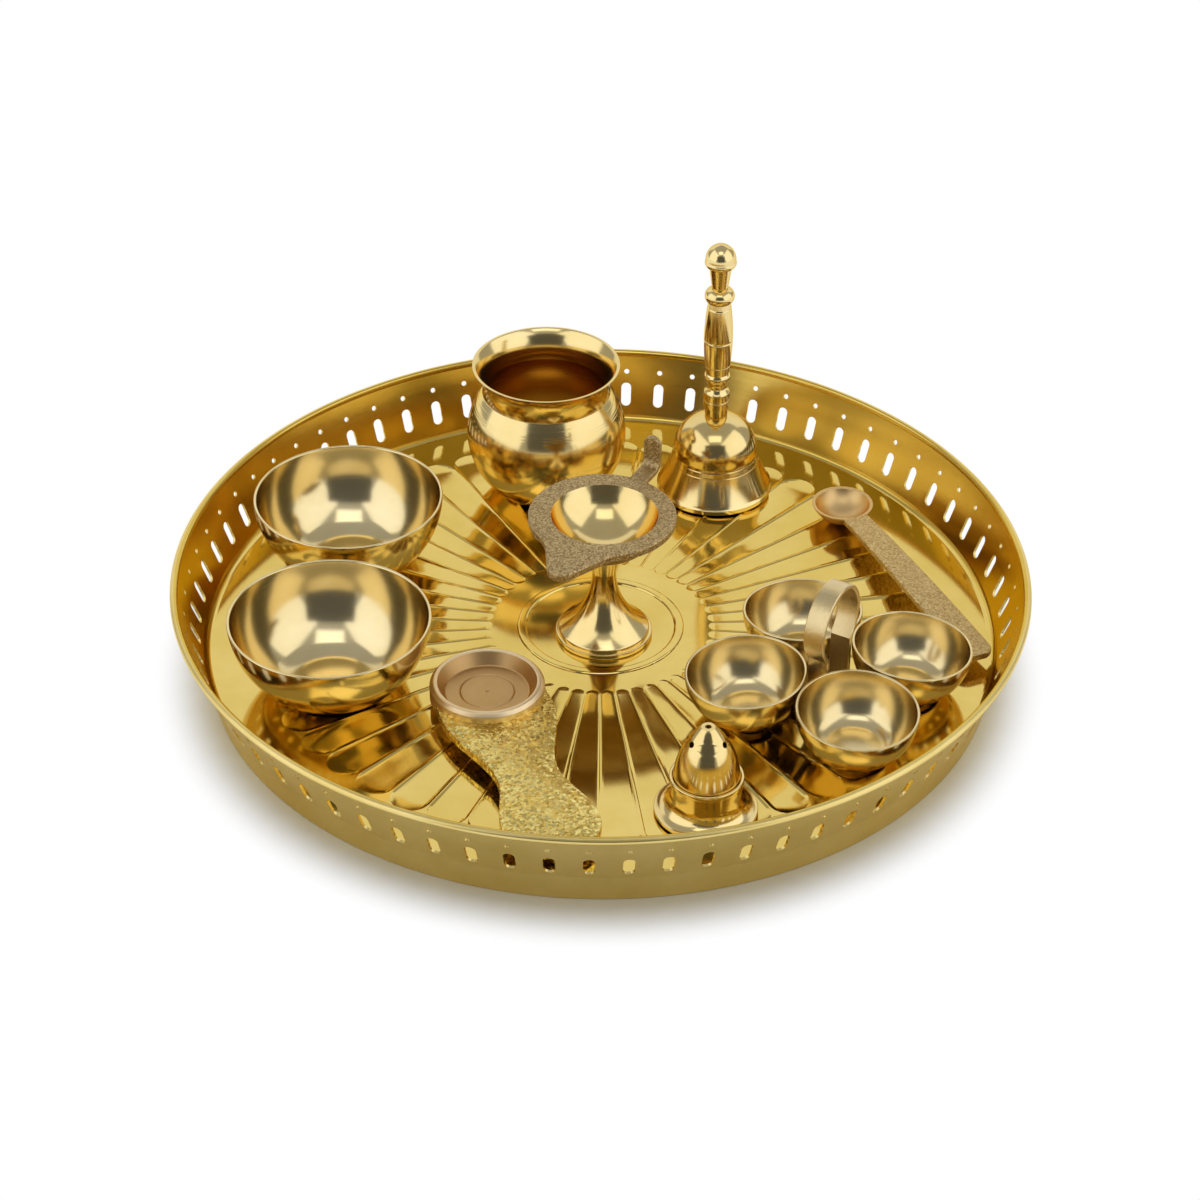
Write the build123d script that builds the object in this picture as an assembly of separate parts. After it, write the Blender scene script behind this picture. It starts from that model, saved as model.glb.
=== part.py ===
from build123d import *
import math
import os

# A brass puja thali: a pierced tray that carries the vessels of a home altar.
# Millimetres, +Z up, the tray's axis on Z and its underside at zero.

# Clearances that all pieces share
seat_gap = 0.1  # under a piece that stands on another
hang_gap = 0.1  # between a loose ring and the bar that it hangs on
stud_gap = 0.05  # radial, round a stud in its hole
overrun = 1.0  # how far a cutter runs past the face that it cuts

# Tray: one spun sheet with a beaded rim, a pierced wall and a fluted floor, raised on a foot ring
tray_rim_r = 152.5
tray_height = 34.9
tray_floor_r = 141.0
tray_sheet = 1.4
tray_bead_r = 1.4
tray_corner_r = 3.0
tray_foot_height = 7.5
tray_foot_r = 140.3
tray_foot_edge = 2.4
slot_count = 71
slot_width = 3.9
slot_height = 9.0
slot_mid_z = 18.3
dot_r = 1.0
dot_mid_z = 26.9
ring_inner_r = 26.5
ring_outer_r = 30.0
ring_height = 0.6
flute_count = 50
flute_start_r = 39.0
flute_end_r = 124.5
flute_depth = 0.6
flute_land_share = 0.06  # flat ridge between flutes, of their pitch
flute_skin_share = 0.03  # how far the flute cutter stands above the floor, of its depth

# Water pot with a round belly and a flared collar
pot_x = -21.0
pot_y = 92.5
pot_wall = 1.2
pot_base_r = 17.0
pot_belly_r = 29.9
pot_belly_z = 24.0
pot_neck_r = 25.0
pot_neck_z = 38.8
pot_rim_r = 27.9
pot_height = 54.0
pot_flare_share = 0.22  # how far out the collar is at half its height

# Hand bell
bell_x = 43.3
bell_y = 92.6
bell_wall = 1.6
bell_lip_r = 21.9
bell_lip_band = 2.8
bell_lip_step = 0.6
bell_shoulder_r = 15.8
bell_shoulder_z = 17.0
bell_crown_r = 5.2
bell_crown_z = 31.2
bell_waist_share = 0.18  # how far out the waist is at half its height
bell_dome_share = 0.82  # how far up the shoulder is at half its width

# Bell handle, turned in one piece
handle_foot_r = 4.3
handle_foot_height = 5.0
collar_r = 4.9
collar_height = 6.6
lower_neck_r = 3.6
lower_neck_height = 4.7
lower_ring_r = 4.9
lower_ring_height = 3.4
grip_foot_r = 4.3
grip_belly_r = 5.4
grip_head_r = 4.2
grip_height = 30.3
upper_bead_r = 5.6
upper_bead_height = 5.6
upper_neck_r = 3.0
upper_neck_height = 9.0
acorn_cup_r = 4.2
acorn_r = 5.7
acorn_height = 9.4
acorn_widest_share = 0.3  # of the acorn's height
acorn_point_share = 0.3  # rise of the acorn's tip, of its run

# Clapper, hung on an eye bolt that also holds the bell to its handle
eye_shank_r = 1.7
eye_shank_depth = 8.0
eye_flange_r = 3.4
eye_flange_height = 1.2
eye_ring_r = 2.6
eye_wire_r = 0.8
link_ring_r = 3.0
link_wire_r = 0.7
clapper_ring_r = 2.0
clapper_wire_r = 0.7
clapper_rod_r = 1.1
clapper_ball_r = 4.0
clapper_drop = 12.0  # from the link's lower bar to the ball's centre

# Oil lamp: a leaf-shaped dish on a turned stand
diya_x = 1.2
diya_y = -4.2
diya_spout_angle = 246.0
stand_foot_r = 17.3
stand_band_height = 2.0
stand_step = 1.1
stand_step_height = 1.2
stand_stem_r = 4.2
stand_stem_z = 27.0
stand_head_r = 5.4
stand_height = 34.0
stand_hollow_r = 12.0
stand_hollow_depth = 5.0
stand_flare_share = 0.2  # how far out the trumpet is at half its height
lamp_pin_r = 2.2
lamp_pin_height = 2.6
lamp_ring_r = 26.0
lamp_ring_shift = 0.9  # of the ring to one side of the bowl, as cast
lamp_plate = 3.0
lamp_bowl_r = 18.8
lamp_bowl_depth = 13.2
lamp_wall = 3.6
lamp_spout_reach = 41.0
lamp_spout_tip_r = 5.0
lamp_spout_root_r = 21.5
lamp_spout_fillet = 14.0
lamp_tail_width = 6.4
lamp_tail_reach = 10.0
lamp_tail_rise = 11.2
lamp_tail_turn = -3.3  # degrees off the spout's line
lamp_tail_plate = 2.4
lamp_tail_round = 2.9

# Two bowls
katori_wall = 1.1
katori_height = 29.0
katori_base_r = 17.0
front_katori_x = -93.8
front_katori_y = -36.6
front_katori_r = 35.5
back_katori_x = -92.6
back_katori_y = 40.0
back_katori_r = 34.6

# Camphor burner: a turned dish cast in one with a fiddle-shaped handle
burner_x = -39.1
burner_y = -47.9
burner_handle_angle = -72.1
dish_r = 20.0
dish_rim_r = 18.8
dish_well_r = 17.4
dish_floor_r = 14.6
dish_foot_r = 17.0
dish_height = 10.6
dish_bevel = 1.4
dish_floor_z = 6.0
plate_z = 4.0
plate_thickness = 3.0
plate_root_w = 39.0
plate_waist_w = 21.6
plate_end_w = 32.6
plate_root_reach = 17.0
plate_waist_reach = 50.5
plate_end_reach = 72.0
plate_length = 91.0

# Incense holder: a flared cup with a pierced cone on it
incense_x = 35.4
incense_y = -104.2
cup_foot_r = 17.4
cup_foot_edge = 1.2
cup_waist_r = 11.9
cup_waist_z = 6.5
cup_rim_r = 12.5
cup_rim_height = 2.0
cup_height = 14.4
cup_bore_r = 9.9
cup_floor = 2.0
cup_ledge_depth = 2.2
cone_r = 11.2
cone_wall = 1.0
cone_skirt = 2.4
cone_height = 22.0
cone_bulge_share = 0.78  # radius at half height, of the base
cone_tip_r = 2.4
cone_hole_r = 1.1
cone_hole_count = 3
cone_hole_turn_share = 0.75  # where the first vent is, of the way to the next
cone_hole_z_share = 0.77  # of the cone's height
cone_play = 0.2  # radial, between the cone and the ledge's wall

# Four cups on one carrier with a strap handle
set_place_shares = (0.5187, -0.2977)  # of the rim's radius, to the right and to the back
set_angle = -30.0
little_cup_r = 21.1
little_cup_height = 17.5
little_cup_base_r = 12.0
little_cup_wall = 1.0
little_cup_gap = 0.6  # between two neighbouring rims
little_cup_splay = 4.0  # degrees that each cup leans outwards
cup_turns = {"cup_right": 45.0, "cup_back": 135.0, "cup_left": 225.0, "cup_front": 315.0}
carrier_plate = 1.2
carrier_pad_r = 9.0
carrier_arm_w = 8.0
carrier_hub_r = 13.0
strap_width = 7.6
strap_plate = 1.6
strap_leg_s = 9.2  # half the distance over the legs
strap_loop_r = 14.2
strap_top_z = 49.0
strap_foot = 4.0
strap_bend_r = 2.4

# Spoon
spoon_x = 91.2
spoon_y = 69.6
spoon_angle = -66.0
spoon_bowl_r = 11.6
spoon_bowl_depth = 7.6
spoon_wall = 1.2
spoon_reach = 104.4
spoon_handle_w = 9.8
spoon_tip_w = 13.0
spoon_crest_reach = 45.0
spoon_crest_z = 8.4
spoon_handle_plate = 2.4
spoon_tip_z = 4.2
spoon_tip_round = 4.0

floor_z = tray_foot_height + tray_sheet
stand_z = floor_z + seat_gap


# A closed outline in the half plane of radius and height, turned about Z
def turned(*edges):
    return revolve(Plane.XZ * make_face(edges), Axis.Z)


# Lines through the given points
def lines(*points):
    return Polyline(*points).edges()


# A flat outline across X and Z, given its thickness along Y
def across(outline, width):
    return extrude(Plane.XZ * outline, width / 2, both=True)


# Bowl whose wall follows one sphere, from a flat base up to its rim
def round_bowl(rim_r, height, base_r, wall):
    centre_z = (rim_r**2 + height**2 - base_r**2) / (2 * height)
    outer_r = math.hypot(base_r, centre_z)
    inner_r = outer_r - wall

    def spot(sphere_r, z):
        return (math.sqrt(sphere_r**2 - (z - centre_z) ** 2), z)

    inner_base = spot(inner_r, wall)
    inner_rim = spot(inner_r, height)
    return turned(
        ThreePointArc((base_r, 0), spot(outer_r, height / 2), (rim_r, height)),
        Line((rim_r, height), inner_rim),
        ThreePointArc(inner_rim, spot(inner_r, (height + wall) / 2), inner_base),
        *lines(inner_base, (0, wall), (0, 0), (base_r, 0)),
    )


def tray_flute():
    half_turn = math.pi / flute_count * (1 - flute_land_share)
    grow = math.sin(half_turn)
    end_w = flute_end_r * grow / (1 + grow)
    start_w = flute_start_r * grow / (1 - grow)
    start_depth = flute_depth * start_w / end_w
    end_ball = (end_w**2 + flute_depth**2) / (2 * flute_depth)
    start_ball = (start_w**2 + start_depth**2) / (2 * start_depth)
    start = Vector(flute_start_r + start_w, floor_z + start_ball - start_depth)
    end = Vector(flute_end_r - end_w, floor_z + end_ball - flute_depth)
    along = (end - start).normalized()
    down = Vector(along.Y, -along.X)
    lean = (end_ball - start_ball) / (end - start).length
    side = down * math.sqrt(1 - lean**2) - along * lean
    half = (side - along).normalized()
    far = (side + along).normalized()
    outline = make_face(
        [
            ThreePointArc(start - along * start_ball, start + half * start_ball, start + side * start_ball),
            Line(start + side * start_ball, end + side * end_ball),
            ThreePointArc(end + side * end_ball, end + far * end_ball, end + along * end_ball),
            Line(end + along * end_ball, start - along * start_ball),
        ]
    )
    axis = Axis((start.X, 0, start.Y), (along.X, 0, along.Y))
    scoop = revolve(Plane.XZ * outline, axis)
    skin = flute_depth * flute_skin_share
    slab = Pos(flute_end_r / 2, 0, floor_z + skin - flute_depth) * Box(
        flute_end_r * 2, end_w * 4, flute_depth * 2
    )
    return scoop & slab


def thali_tray():
    bead_x = tray_rim_r - tray_bead_r
    bead_z = tray_height - tray_bead_r
    inside = FilletPolyline(
        (0, floor_z),
        (tray_floor_r, floor_z),
        (bead_x - tray_sheet / 2, bead_z),
        radius=tray_corner_r,
    )
    sheet = make_face(offset(inside, tray_sheet, side=Side.RIGHT, closed=True))
    bead = Pos(bead_x, bead_z) * Circle(tray_bead_r)
    ring_mid = ((ring_inner_r + ring_outer_r) / 2, floor_z + ring_height)
    ring = make_face(
        [
            ThreePointArc((ring_inner_r, floor_z), ring_mid, (ring_outer_r, floor_z)),
            *lines(
                (ring_outer_r, floor_z),
                (ring_outer_r, floor_z - tray_sheet / 2),
                (ring_inner_r, floor_z - tray_sheet / 2),
                (ring_inner_r, floor_z),
            ),
        ]
    )
    slope = (bead_x - tray_sheet / 2 - tray_floor_r) / (bead_z - floor_z)
    joint_r = tray_floor_r + slope * tray_corner_r
    joint_w = tray_sheet * math.hypot(1, slope)
    foot = make_face(
        lines(
            (tray_foot_r - tray_foot_edge, 0),
            (tray_foot_r, 0),
            (joint_r + joint_w, floor_z + tray_corner_r),
            (joint_r + joint_w / 2, floor_z + tray_corner_r),
            (tray_floor_r, floor_z - tray_sheet / 2),
            (tray_foot_r - tray_foot_edge, 0),
        )
    )
    tray = revolve(Plane.XZ * (sheet + bead + ring + foot), Axis.Z)
    reach = tray_rim_r - tray_floor_r + 2 * overrun
    wall = Plane((tray_floor_r - overrun, 0, 0), x_dir=(0, 1, 0), z_dir=(1, 0, 0))
    slot = Pos(0, slot_mid_z) * SlotOverall(slot_height, slot_width, rotation=90)
    dot = Pos(0, dot_mid_z) * Circle(dot_r)
    piercing = extrude(wall * (slot + dot), reach)
    flute = tray_flute()
    cutters = [Rot(Z=360 * i / slot_count) * piercing for i in range(slot_count)]
    cutters += [Rot(Z=360 * i / flute_count) * flute for i in range(flute_count)]
    return tray - cutters


def kalash_pot():
    collar_mid = (
        pot_neck_r + (pot_rim_r - pot_neck_r) * pot_flare_share,
        (pot_neck_z + pot_height) / 2,
    )
    outside = Wire(
        [
            Line((0, 0), (pot_base_r, 0)),
            ThreePointArc((pot_base_r, 0), (pot_belly_r, pot_belly_z), (pot_neck_r, pot_neck_z)),
            ThreePointArc((pot_neck_r, pot_neck_z), collar_mid, (pot_rim_r, pot_height)),
        ]
    )
    wall = make_face(offset(outside, pot_wall, side=Side.LEFT, closed=True))
    level = Pos(0, pot_height / 2) * Rectangle(2 * pot_belly_r, pot_height)
    return revolve(Plane.XZ * (wall & level), Axis.Z)


def bell_cup():
    lip_inner_r = bell_lip_r - bell_lip_step
    waist_mid = (
        bell_shoulder_r + (lip_inner_r - bell_shoulder_r) * bell_waist_share,
        (bell_shoulder_z + bell_lip_band) / 2,
    )
    dome_mid = (
        (bell_crown_r + bell_shoulder_r) / 2,
        bell_shoulder_z + (bell_crown_z - bell_shoulder_z) * bell_dome_share,
    )
    outside = Wire(
        [
            Line((lip_inner_r, 0), (lip_inner_r, bell_lip_band)),
            ThreePointArc(
                (lip_inner_r, bell_lip_band), waist_mid, (bell_shoulder_r, bell_shoulder_z)
            ),
            ThreePointArc(
                (bell_shoulder_r, bell_shoulder_z), dome_mid, (bell_crown_r, bell_crown_z)
            ),
            Line((bell_crown_r, bell_crown_z), (0, bell_crown_z)),
        ]
    )
    shell = make_face(offset(outside, bell_wall, side=Side.LEFT, closed=True))
    band = Pos(lip_inner_r, bell_lip_band / 2) * Rectangle(2 * bell_lip_step, bell_lip_band)
    cup = revolve(Plane.XZ * (shell + band), Axis.Z)
    hole = Pos(0, 0, bell_crown_z) * Cylinder(eye_shank_r + stud_gap, 2 * (bell_wall + overrun))
    return cup - hole


def bell_handle():
    collar_z = bell_crown_z + handle_foot_height
    neck_z = collar_z + collar_height
    ring_z = neck_z + lower_neck_height
    grip_z = ring_z + lower_ring_height
    bead_z = grip_z + grip_height
    upper_z = bead_z + upper_bead_height
    acorn_z = upper_z + upper_neck_height
    widest_z = acorn_z + acorn_height * acorn_widest_share
    top_z = acorn_z + acorn_height
    bore_r = eye_shank_r + stud_gap
    bore_z = bell_crown_z + eye_shank_depth + stud_gap
    return turned(
        *lines(
            (bore_r, bell_crown_z),
            (handle_foot_r, bell_crown_z),
            (handle_foot_r, collar_z),
            (collar_r, collar_z),
            (collar_r, neck_z),
        ),
        ThreePointArc((collar_r, neck_z), (lower_neck_r, (neck_z + ring_z) / 2), (grip_foot_r, ring_z)),
        ThreePointArc(
            (grip_foot_r, ring_z), (lower_ring_r, ring_z + lower_ring_height / 2), (grip_foot_r, grip_z)
        ),
        ThreePointArc(
            (grip_foot_r, grip_z), (grip_belly_r, grip_z + grip_height / 2), (grip_head_r, bead_z)
        ),
        ThreePointArc(
            (grip_head_r, bead_z), (upper_bead_r, bead_z + upper_bead_height / 2), (upper_neck_r, upper_z)
        ),
        *lines((upper_neck_r, upper_z), (acorn_cup_r, acorn_z)),
        Spline(
            (acorn_cup_r, acorn_z),
            (acorn_r, widest_z),
            (0, top_z),
            tangents=[(1, 0), (-1, acorn_point_share)],
        ),
        *lines((0, top_z), (0, bore_z), (bore_r, bore_z), (bore_r, bell_crown_z)),
    )


eye_z = bell_crown_z - bell_wall - eye_flange_height - eye_ring_r
eye_bar_z = eye_z - eye_ring_r
link_z = eye_bar_z + eye_wire_r + link_wire_r + hang_gap - link_ring_r
link_bar_z = link_z - link_ring_r
clapper_ring_z = link_bar_z + link_wire_r + clapper_wire_r + hang_gap - clapper_ring_r


def bell_eye():
    flange_z = bell_crown_z - bell_wall - eye_flange_height
    shank_height = eye_flange_height + bell_wall + eye_shank_depth
    shank = Pos(0, 0, flange_z + shank_height / 2) * Cylinder(eye_shank_r, shank_height)
    flange = Pos(0, 0, flange_z + eye_flange_height / 2) * Cylinder(eye_flange_r, eye_flange_height)
    ring = Pos(0, 0, eye_z) * Rot(X=90) * Torus(eye_ring_r, eye_wire_r)
    return shank + flange + ring


def clapper_link():
    return Pos(0, 0, link_z) * Rot(Y=90) * Torus(link_ring_r, link_wire_r)


def clapper():
    ring = Pos(0, 0, clapper_ring_z) * Rot(X=90) * Torus(clapper_ring_r, clapper_wire_r)
    ball_z = link_bar_z - clapper_drop
    rod_top = clapper_ring_z - clapper_ring_r
    rod = Pos(0, 0, (rod_top + ball_z) / 2) * Cylinder(clapper_rod_r, rod_top - ball_z)
    ball = Pos(0, 0, ball_z) * Sphere(clapper_ball_r)
    return ring + rod + ball


def diya_stand():
    step_z = stand_band_height + stand_step_height
    step_r = stand_foot_r - stand_step
    flare_mid = (
        stand_stem_r + (step_r - stand_stem_r) * stand_flare_share,
        (step_z + stand_stem_z) / 2,
    )
    pin_z = stand_height + lamp_pin_height
    return turned(
        *lines(
            (stand_hollow_r, 0),
            (stand_foot_r, 0),
            (stand_foot_r, stand_band_height),
            (step_r, stand_band_height),
            (step_r, step_z),
        ),
        ThreePointArc((step_r, step_z), flare_mid, (stand_stem_r, stand_stem_z)),
        *lines(
            (stand_stem_r, stand_stem_z),
            (stand_head_r, stand_height),
            (lamp_pin_r, stand_height),
            (lamp_pin_r, pin_z),
            (0, pin_z),
            (0, stand_hollow_depth),
            (stand_hollow_r, 0),
        ),
    )


# Plan of the lamp's plate, with the spout along +X
def lamp_plate_plan():
    tip_x = lamp_spout_reach - lamp_spout_tip_r
    lean = (lamp_spout_root_r - lamp_spout_tip_r) / tip_x
    side = math.sqrt(1 - lean**2)
    root = (lamp_spout_root_r * lean, lamp_spout_root_r * side)
    tip = (tip_x + lamp_spout_tip_r * lean, lamp_spout_tip_r * side)
    spout = make_face(
        [
            Line((root[0], -root[1]), (tip[0], -tip[1])),
            ThreePointArc((tip[0], -tip[1]), (lamp_spout_reach, 0), tip),
            *lines(tip, root, (root[0], -root[1])),
        ]
    )
    plan = Pos(0, -lamp_ring_shift) * Circle(lamp_ring_r) + spout
    inner = [v for v in plan.vertices() if 0 < v.X < lamp_ring_r and abs(v.Y) > lamp_spout_tip_r]
    return fillet(inner, lamp_spout_fillet)


def diya_dish():
    top_z = stand_height + lamp_wall + lamp_bowl_depth
    bowl_r = (lamp_bowl_r**2 + lamp_bowl_depth**2) / (2 * lamp_bowl_depth)
    bowl_centre = top_z - lamp_bowl_depth + bowl_r
    plate = Pos(0, 0, top_z - lamp_plate) * extrude(lamp_plate_plan(), lamp_plate)
    outer = Pos(0, 0, bowl_centre) * Sphere(bowl_r + lamp_wall)
    below = Pos(0, 0, (stand_height + top_z) / 2) * Cylinder(lamp_ring_r, top_z - stand_height)
    tail_x = lamp_ring_r + lamp_tail_reach
    tail_path = FilletPolyline(
        (-lamp_bowl_r - lamp_plate, top_z),
        (-tail_x, top_z),
        (-tail_x, top_z + lamp_tail_rise),
        radius=lamp_tail_plate,
    )
    tail = across(make_face(offset(tail_path, lamp_tail_plate, side=Side.LEFT, closed=True)), lamp_tail_width)
    crown = tail.edges().filter_by(Axis.X).group_by(Axis.Z)[-1]
    tail = fillet(crown, lamp_tail_round)
    well = Pos(0, 0, bowl_centre) * Sphere(bowl_r)
    socket_height = lamp_pin_height + stud_gap
    socket = Pos(0, 0, stand_height + socket_height / 2) * Cylinder(lamp_pin_r + stud_gap, socket_height)
    return plate + (outer & below) + Rot(Z=lamp_tail_turn) * tail - well - socket


def camphor_burner():
    dish = turned(
        *lines(
            (0, 0),
            (dish_foot_r, 0),
            (dish_r, plate_z),
            (dish_r, dish_height - dish_bevel),
            (dish_rim_r, dish_height),
            (dish_well_r, dish_height),
            (dish_floor_r, dish_floor_z),
            (0, dish_floor_z),
            (0, 0),
        )
    )
    side = Spline(
        (0, plate_root_w / 2),
        (plate_root_reach, plate_root_w / 2),
        (plate_waist_reach, plate_waist_w / 2),
        (plate_end_reach, plate_end_w / 2),
        (plate_length, 0),
        tangents=[(1, 0), (0, -1)],
    )
    half_plan = make_face([side, *lines((plate_length, 0), (0, 0), (0, plate_root_w / 2))])
    plan = half_plan + mirror(half_plan, Plane.XZ)
    plate = Pos(0, 0, plate_z) * extrude(plan, plate_thickness)
    well = Pos(0, 0, dish_height) * Cylinder(dish_rim_r, 2 * (dish_height - plate_z))
    return dish + (plate - well)


def incense_base():
    ledge_z = cup_height - cup_ledge_depth
    ledge_r = cone_r + cone_play
    rim_z = cup_height - cup_rim_height
    return turned(
        *lines((0, 0), (cup_foot_r, 0), (cup_foot_r, cup_foot_edge)),
        ThreePointArc(
            (cup_foot_r, cup_foot_edge),
            (cup_waist_r + cup_foot_edge, cup_waist_z / 2),
            (cup_waist_r, cup_waist_z),
        ),
        *lines(
            (cup_waist_r, cup_waist_z),
            (cup_waist_r, rim_z),
            (cup_rim_r, rim_z),
            (cup_rim_r, cup_height),
            (ledge_r, cup_height),
            (ledge_r, ledge_z),
            (cup_bore_r, ledge_z),
            (cup_bore_r, cup_floor),
            (0, cup_floor),
            (0, 0),
        ),
    )


def incense_cone():
    inner_r = cone_r - cone_wall
    inner_height = cone_height - cone_wall
    mid_z = (cone_skirt + cone_height) / 2
    mid_r = cone_r * cone_bulge_share
    shell = turned(
        *lines((inner_r, 0), (cone_r, 0), (cone_r, cone_skirt)),
        ThreePointArc((cone_r, cone_skirt), (mid_r, mid_z), (cone_tip_r, cone_height)),
        *lines((cone_tip_r, cone_height), (0, cone_height), (0, inner_height)),
        *lines((0, inner_height), (cone_tip_r - cone_wall, inner_height)),
        ThreePointArc(
            (cone_tip_r - cone_wall, inner_height), (mid_r - cone_wall, mid_z), (inner_r, cone_skirt)
        ),
        *lines((inner_r, cone_skirt), (inner_r, 0)),
    )
    top_hole = Pos(0, 0, cone_height) * Cylinder(cone_hole_r, 2 * (cone_wall + overrun))
    side_hole = Pos(cone_r / 2, 0, cone_height * cone_hole_z_share) * Rot(Y=90) * Cylinder(cone_hole_r, cone_r)
    step = 360 / cone_hole_count
    holes = [Rot(Z=step * (i + cone_hole_turn_share)) * side_hole for i in range(cone_hole_count)]
    return shell - [top_hole, *holes]


spacing = little_cup_r + little_cup_gap / 2
rim_reach = spacing * math.sqrt(2)
base_reach = rim_reach - little_cup_height * math.sin(math.radians(little_cup_splay))
base_z = carrier_plate + carrier_pad_r * math.sin(math.radians(little_cup_splay))
hub_z = base_z + (base_reach - carrier_hub_r) * math.tan(math.radians(little_cup_splay))


# Seat of one cup, leaning outwards on the carrier
def cup_seat(turn):
    return Rot(Z=turn) * Pos(base_reach, 0, base_z) * Rot(Y=little_cup_splay)


def little_cup(turn):
    cup = round_bowl(little_cup_r, little_cup_height, little_cup_base_r, little_cup_wall)
    return cup_seat(turn) * cup


def cup_carrier():
    arm_length = base_reach - carrier_hub_r + carrier_arm_w / 2
    pad = Cylinder(carrier_pad_r, carrier_plate)
    arm = Pos(-arm_length / 2, 0, 0) * Box(arm_length, carrier_arm_w, carrier_plate)
    seat = Pos(0, 0, -carrier_plate / 2) * (pad + arm)
    hub = Pos(0, 0, hub_z - carrier_plate / 2) * Cylinder(carrier_hub_r, carrier_plate)
    return hub + [cup_seat(turn) * seat for turn in cup_turns.values()]


def strap_handle():
    loop_z = strap_top_z - strap_loop_r
    knee_z = loop_z - math.sqrt(strap_loop_r**2 - strap_leg_s**2)
    leg = FilletPolyline(
        (-strap_leg_s + strap_foot, hub_z),
        (-strap_leg_s, hub_z),
        (-strap_leg_s, knee_z),
        radius=strap_bend_r,
    )
    loop = ThreePointArc((-strap_leg_s, knee_z), (0, strap_top_z), (strap_leg_s, knee_z))
    outside = Wire([*leg.edges(), loop, *mirror(leg, Plane.YZ).edges()])
    band = make_face(offset(outside, strap_plate, side=Side.RIGHT, closed=True))
    return across(band, strap_width)


def spoon():
    ball_r = (spoon_bowl_r**2 + spoon_bowl_depth**2) / (2 * spoon_bowl_depth)
    ball = Pos(0, 0, ball_r) * Sphere(ball_r)
    well = Pos(0, 0, ball_r) * Sphere(ball_r - spoon_wall)
    below_rim = Pos(0, 0, spoon_bowl_depth / 2) * Cylinder(spoon_bowl_r, spoon_bowl_depth)
    root_r = spoon_bowl_r - spoon_wall
    tip_top = spoon_tip_z + spoon_handle_plate
    root_low = spoon_bowl_depth - spoon_handle_plate
    crest_low = spoon_crest_z - spoon_handle_plate
    side = make_face(
        [
            ThreePointArc((root_r, spoon_bowl_depth), (spoon_crest_reach, spoon_crest_z), (spoon_reach, tip_top)),
            Line((spoon_reach, tip_top), (spoon_reach, spoon_tip_z)),
            ThreePointArc((spoon_reach, spoon_tip_z), (spoon_crest_reach, crest_low), (root_r, root_low)),
            Line((root_r, root_low), (root_r, spoon_bowl_depth)),
        ]
    )
    plan = make_face(
        lines(
            (root_r, -spoon_handle_w / 2),
            (spoon_reach, -spoon_tip_w / 2),
            (spoon_reach, spoon_tip_w / 2),
            (root_r, spoon_handle_w / 2),
            (root_r, -spoon_handle_w / 2),
        )
    )
    plan = fillet(plan.vertices().group_by(Axis.X)[-1], spoon_tip_round)
    handle = across(side, spoon_tip_w) & extrude(plan, 2 * spoon_crest_z)
    return (ball & below_rim) + handle - well


pot_place = Pos(pot_x, pot_y, stand_z)
bell_place = Pos(bell_x, bell_y, stand_z)
diya_place = Pos(diya_x, diya_y, stand_z)
dish_place = diya_place * Rot(Z=diya_spout_angle)
burner_place = Pos(burner_x, burner_y, stand_z) * Rot(Z=burner_handle_angle)
incense_place = Pos(incense_x, incense_y, stand_z)
cone_place = incense_place * Pos(0, 0, cup_height - cup_ledge_depth + seat_gap)
set_x = tray_rim_r * set_place_shares[0]
set_y = tray_rim_r * set_place_shares[1]
set_place = Pos(set_x, set_y, stand_z) * Rot(Z=set_angle)
spoon_place = Pos(spoon_x, spoon_y, stand_z) * Rot(Z=spoon_angle)
front_place = Pos(front_katori_x, front_katori_y, stand_z)
back_place = Pos(back_katori_x, back_katori_y, stand_z)

pieces = {
    "thali_tray": thali_tray(),
    "kalash_pot": pot_place * kalash_pot(),
    "bell_cup": bell_place * bell_cup(),
    "bell_handle": bell_place * bell_handle(),
    "bell_eye": bell_place * bell_eye(),
    "clapper_link": bell_place * clapper_link(),
    "clapper": bell_place * clapper(),
    "diya_stand": diya_place * diya_stand(),
    "diya_dish": dish_place * diya_dish(),
    "katori_front": front_place * round_bowl(front_katori_r, katori_height, katori_base_r, katori_wall),
    "katori_back": back_place * round_bowl(back_katori_r, katori_height, katori_base_r, katori_wall),
    "camphor_burner": burner_place * camphor_burner(),
    "incense_base": incense_place * incense_base(),
    "incense_cone": cone_place * incense_cone(),
    **{name: set_place * little_cup(turn) for name, turn in cup_turns.items()},
    "cup_carrier": set_place * cup_carrier(),
    "strap_handle": set_place * Rot(Z=90) * strap_handle(),
    "spoon": spoon_place * spoon(),
}

os.makedirs("parts", exist_ok=True)
for name, piece in pieces.items():
    export_step(piece, f"parts/{name}.step")
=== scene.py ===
import bpy
import bmesh
import math
from mathutils import Matrix, Vector
from mathutils.geometry import interpolate_bezier


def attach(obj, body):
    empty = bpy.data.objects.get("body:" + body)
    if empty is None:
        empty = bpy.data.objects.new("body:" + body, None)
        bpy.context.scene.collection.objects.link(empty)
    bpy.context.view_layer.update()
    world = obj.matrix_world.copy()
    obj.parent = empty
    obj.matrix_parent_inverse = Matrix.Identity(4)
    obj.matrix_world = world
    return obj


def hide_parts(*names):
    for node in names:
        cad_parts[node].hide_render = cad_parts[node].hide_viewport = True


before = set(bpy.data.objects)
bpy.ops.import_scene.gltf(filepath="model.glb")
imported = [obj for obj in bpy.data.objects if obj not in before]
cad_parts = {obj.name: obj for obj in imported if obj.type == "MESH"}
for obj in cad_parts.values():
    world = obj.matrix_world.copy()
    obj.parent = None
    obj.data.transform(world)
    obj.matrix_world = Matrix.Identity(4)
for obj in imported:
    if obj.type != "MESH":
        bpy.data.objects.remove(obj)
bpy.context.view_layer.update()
scene = bpy.context.scene
mm = 0.001
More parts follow.
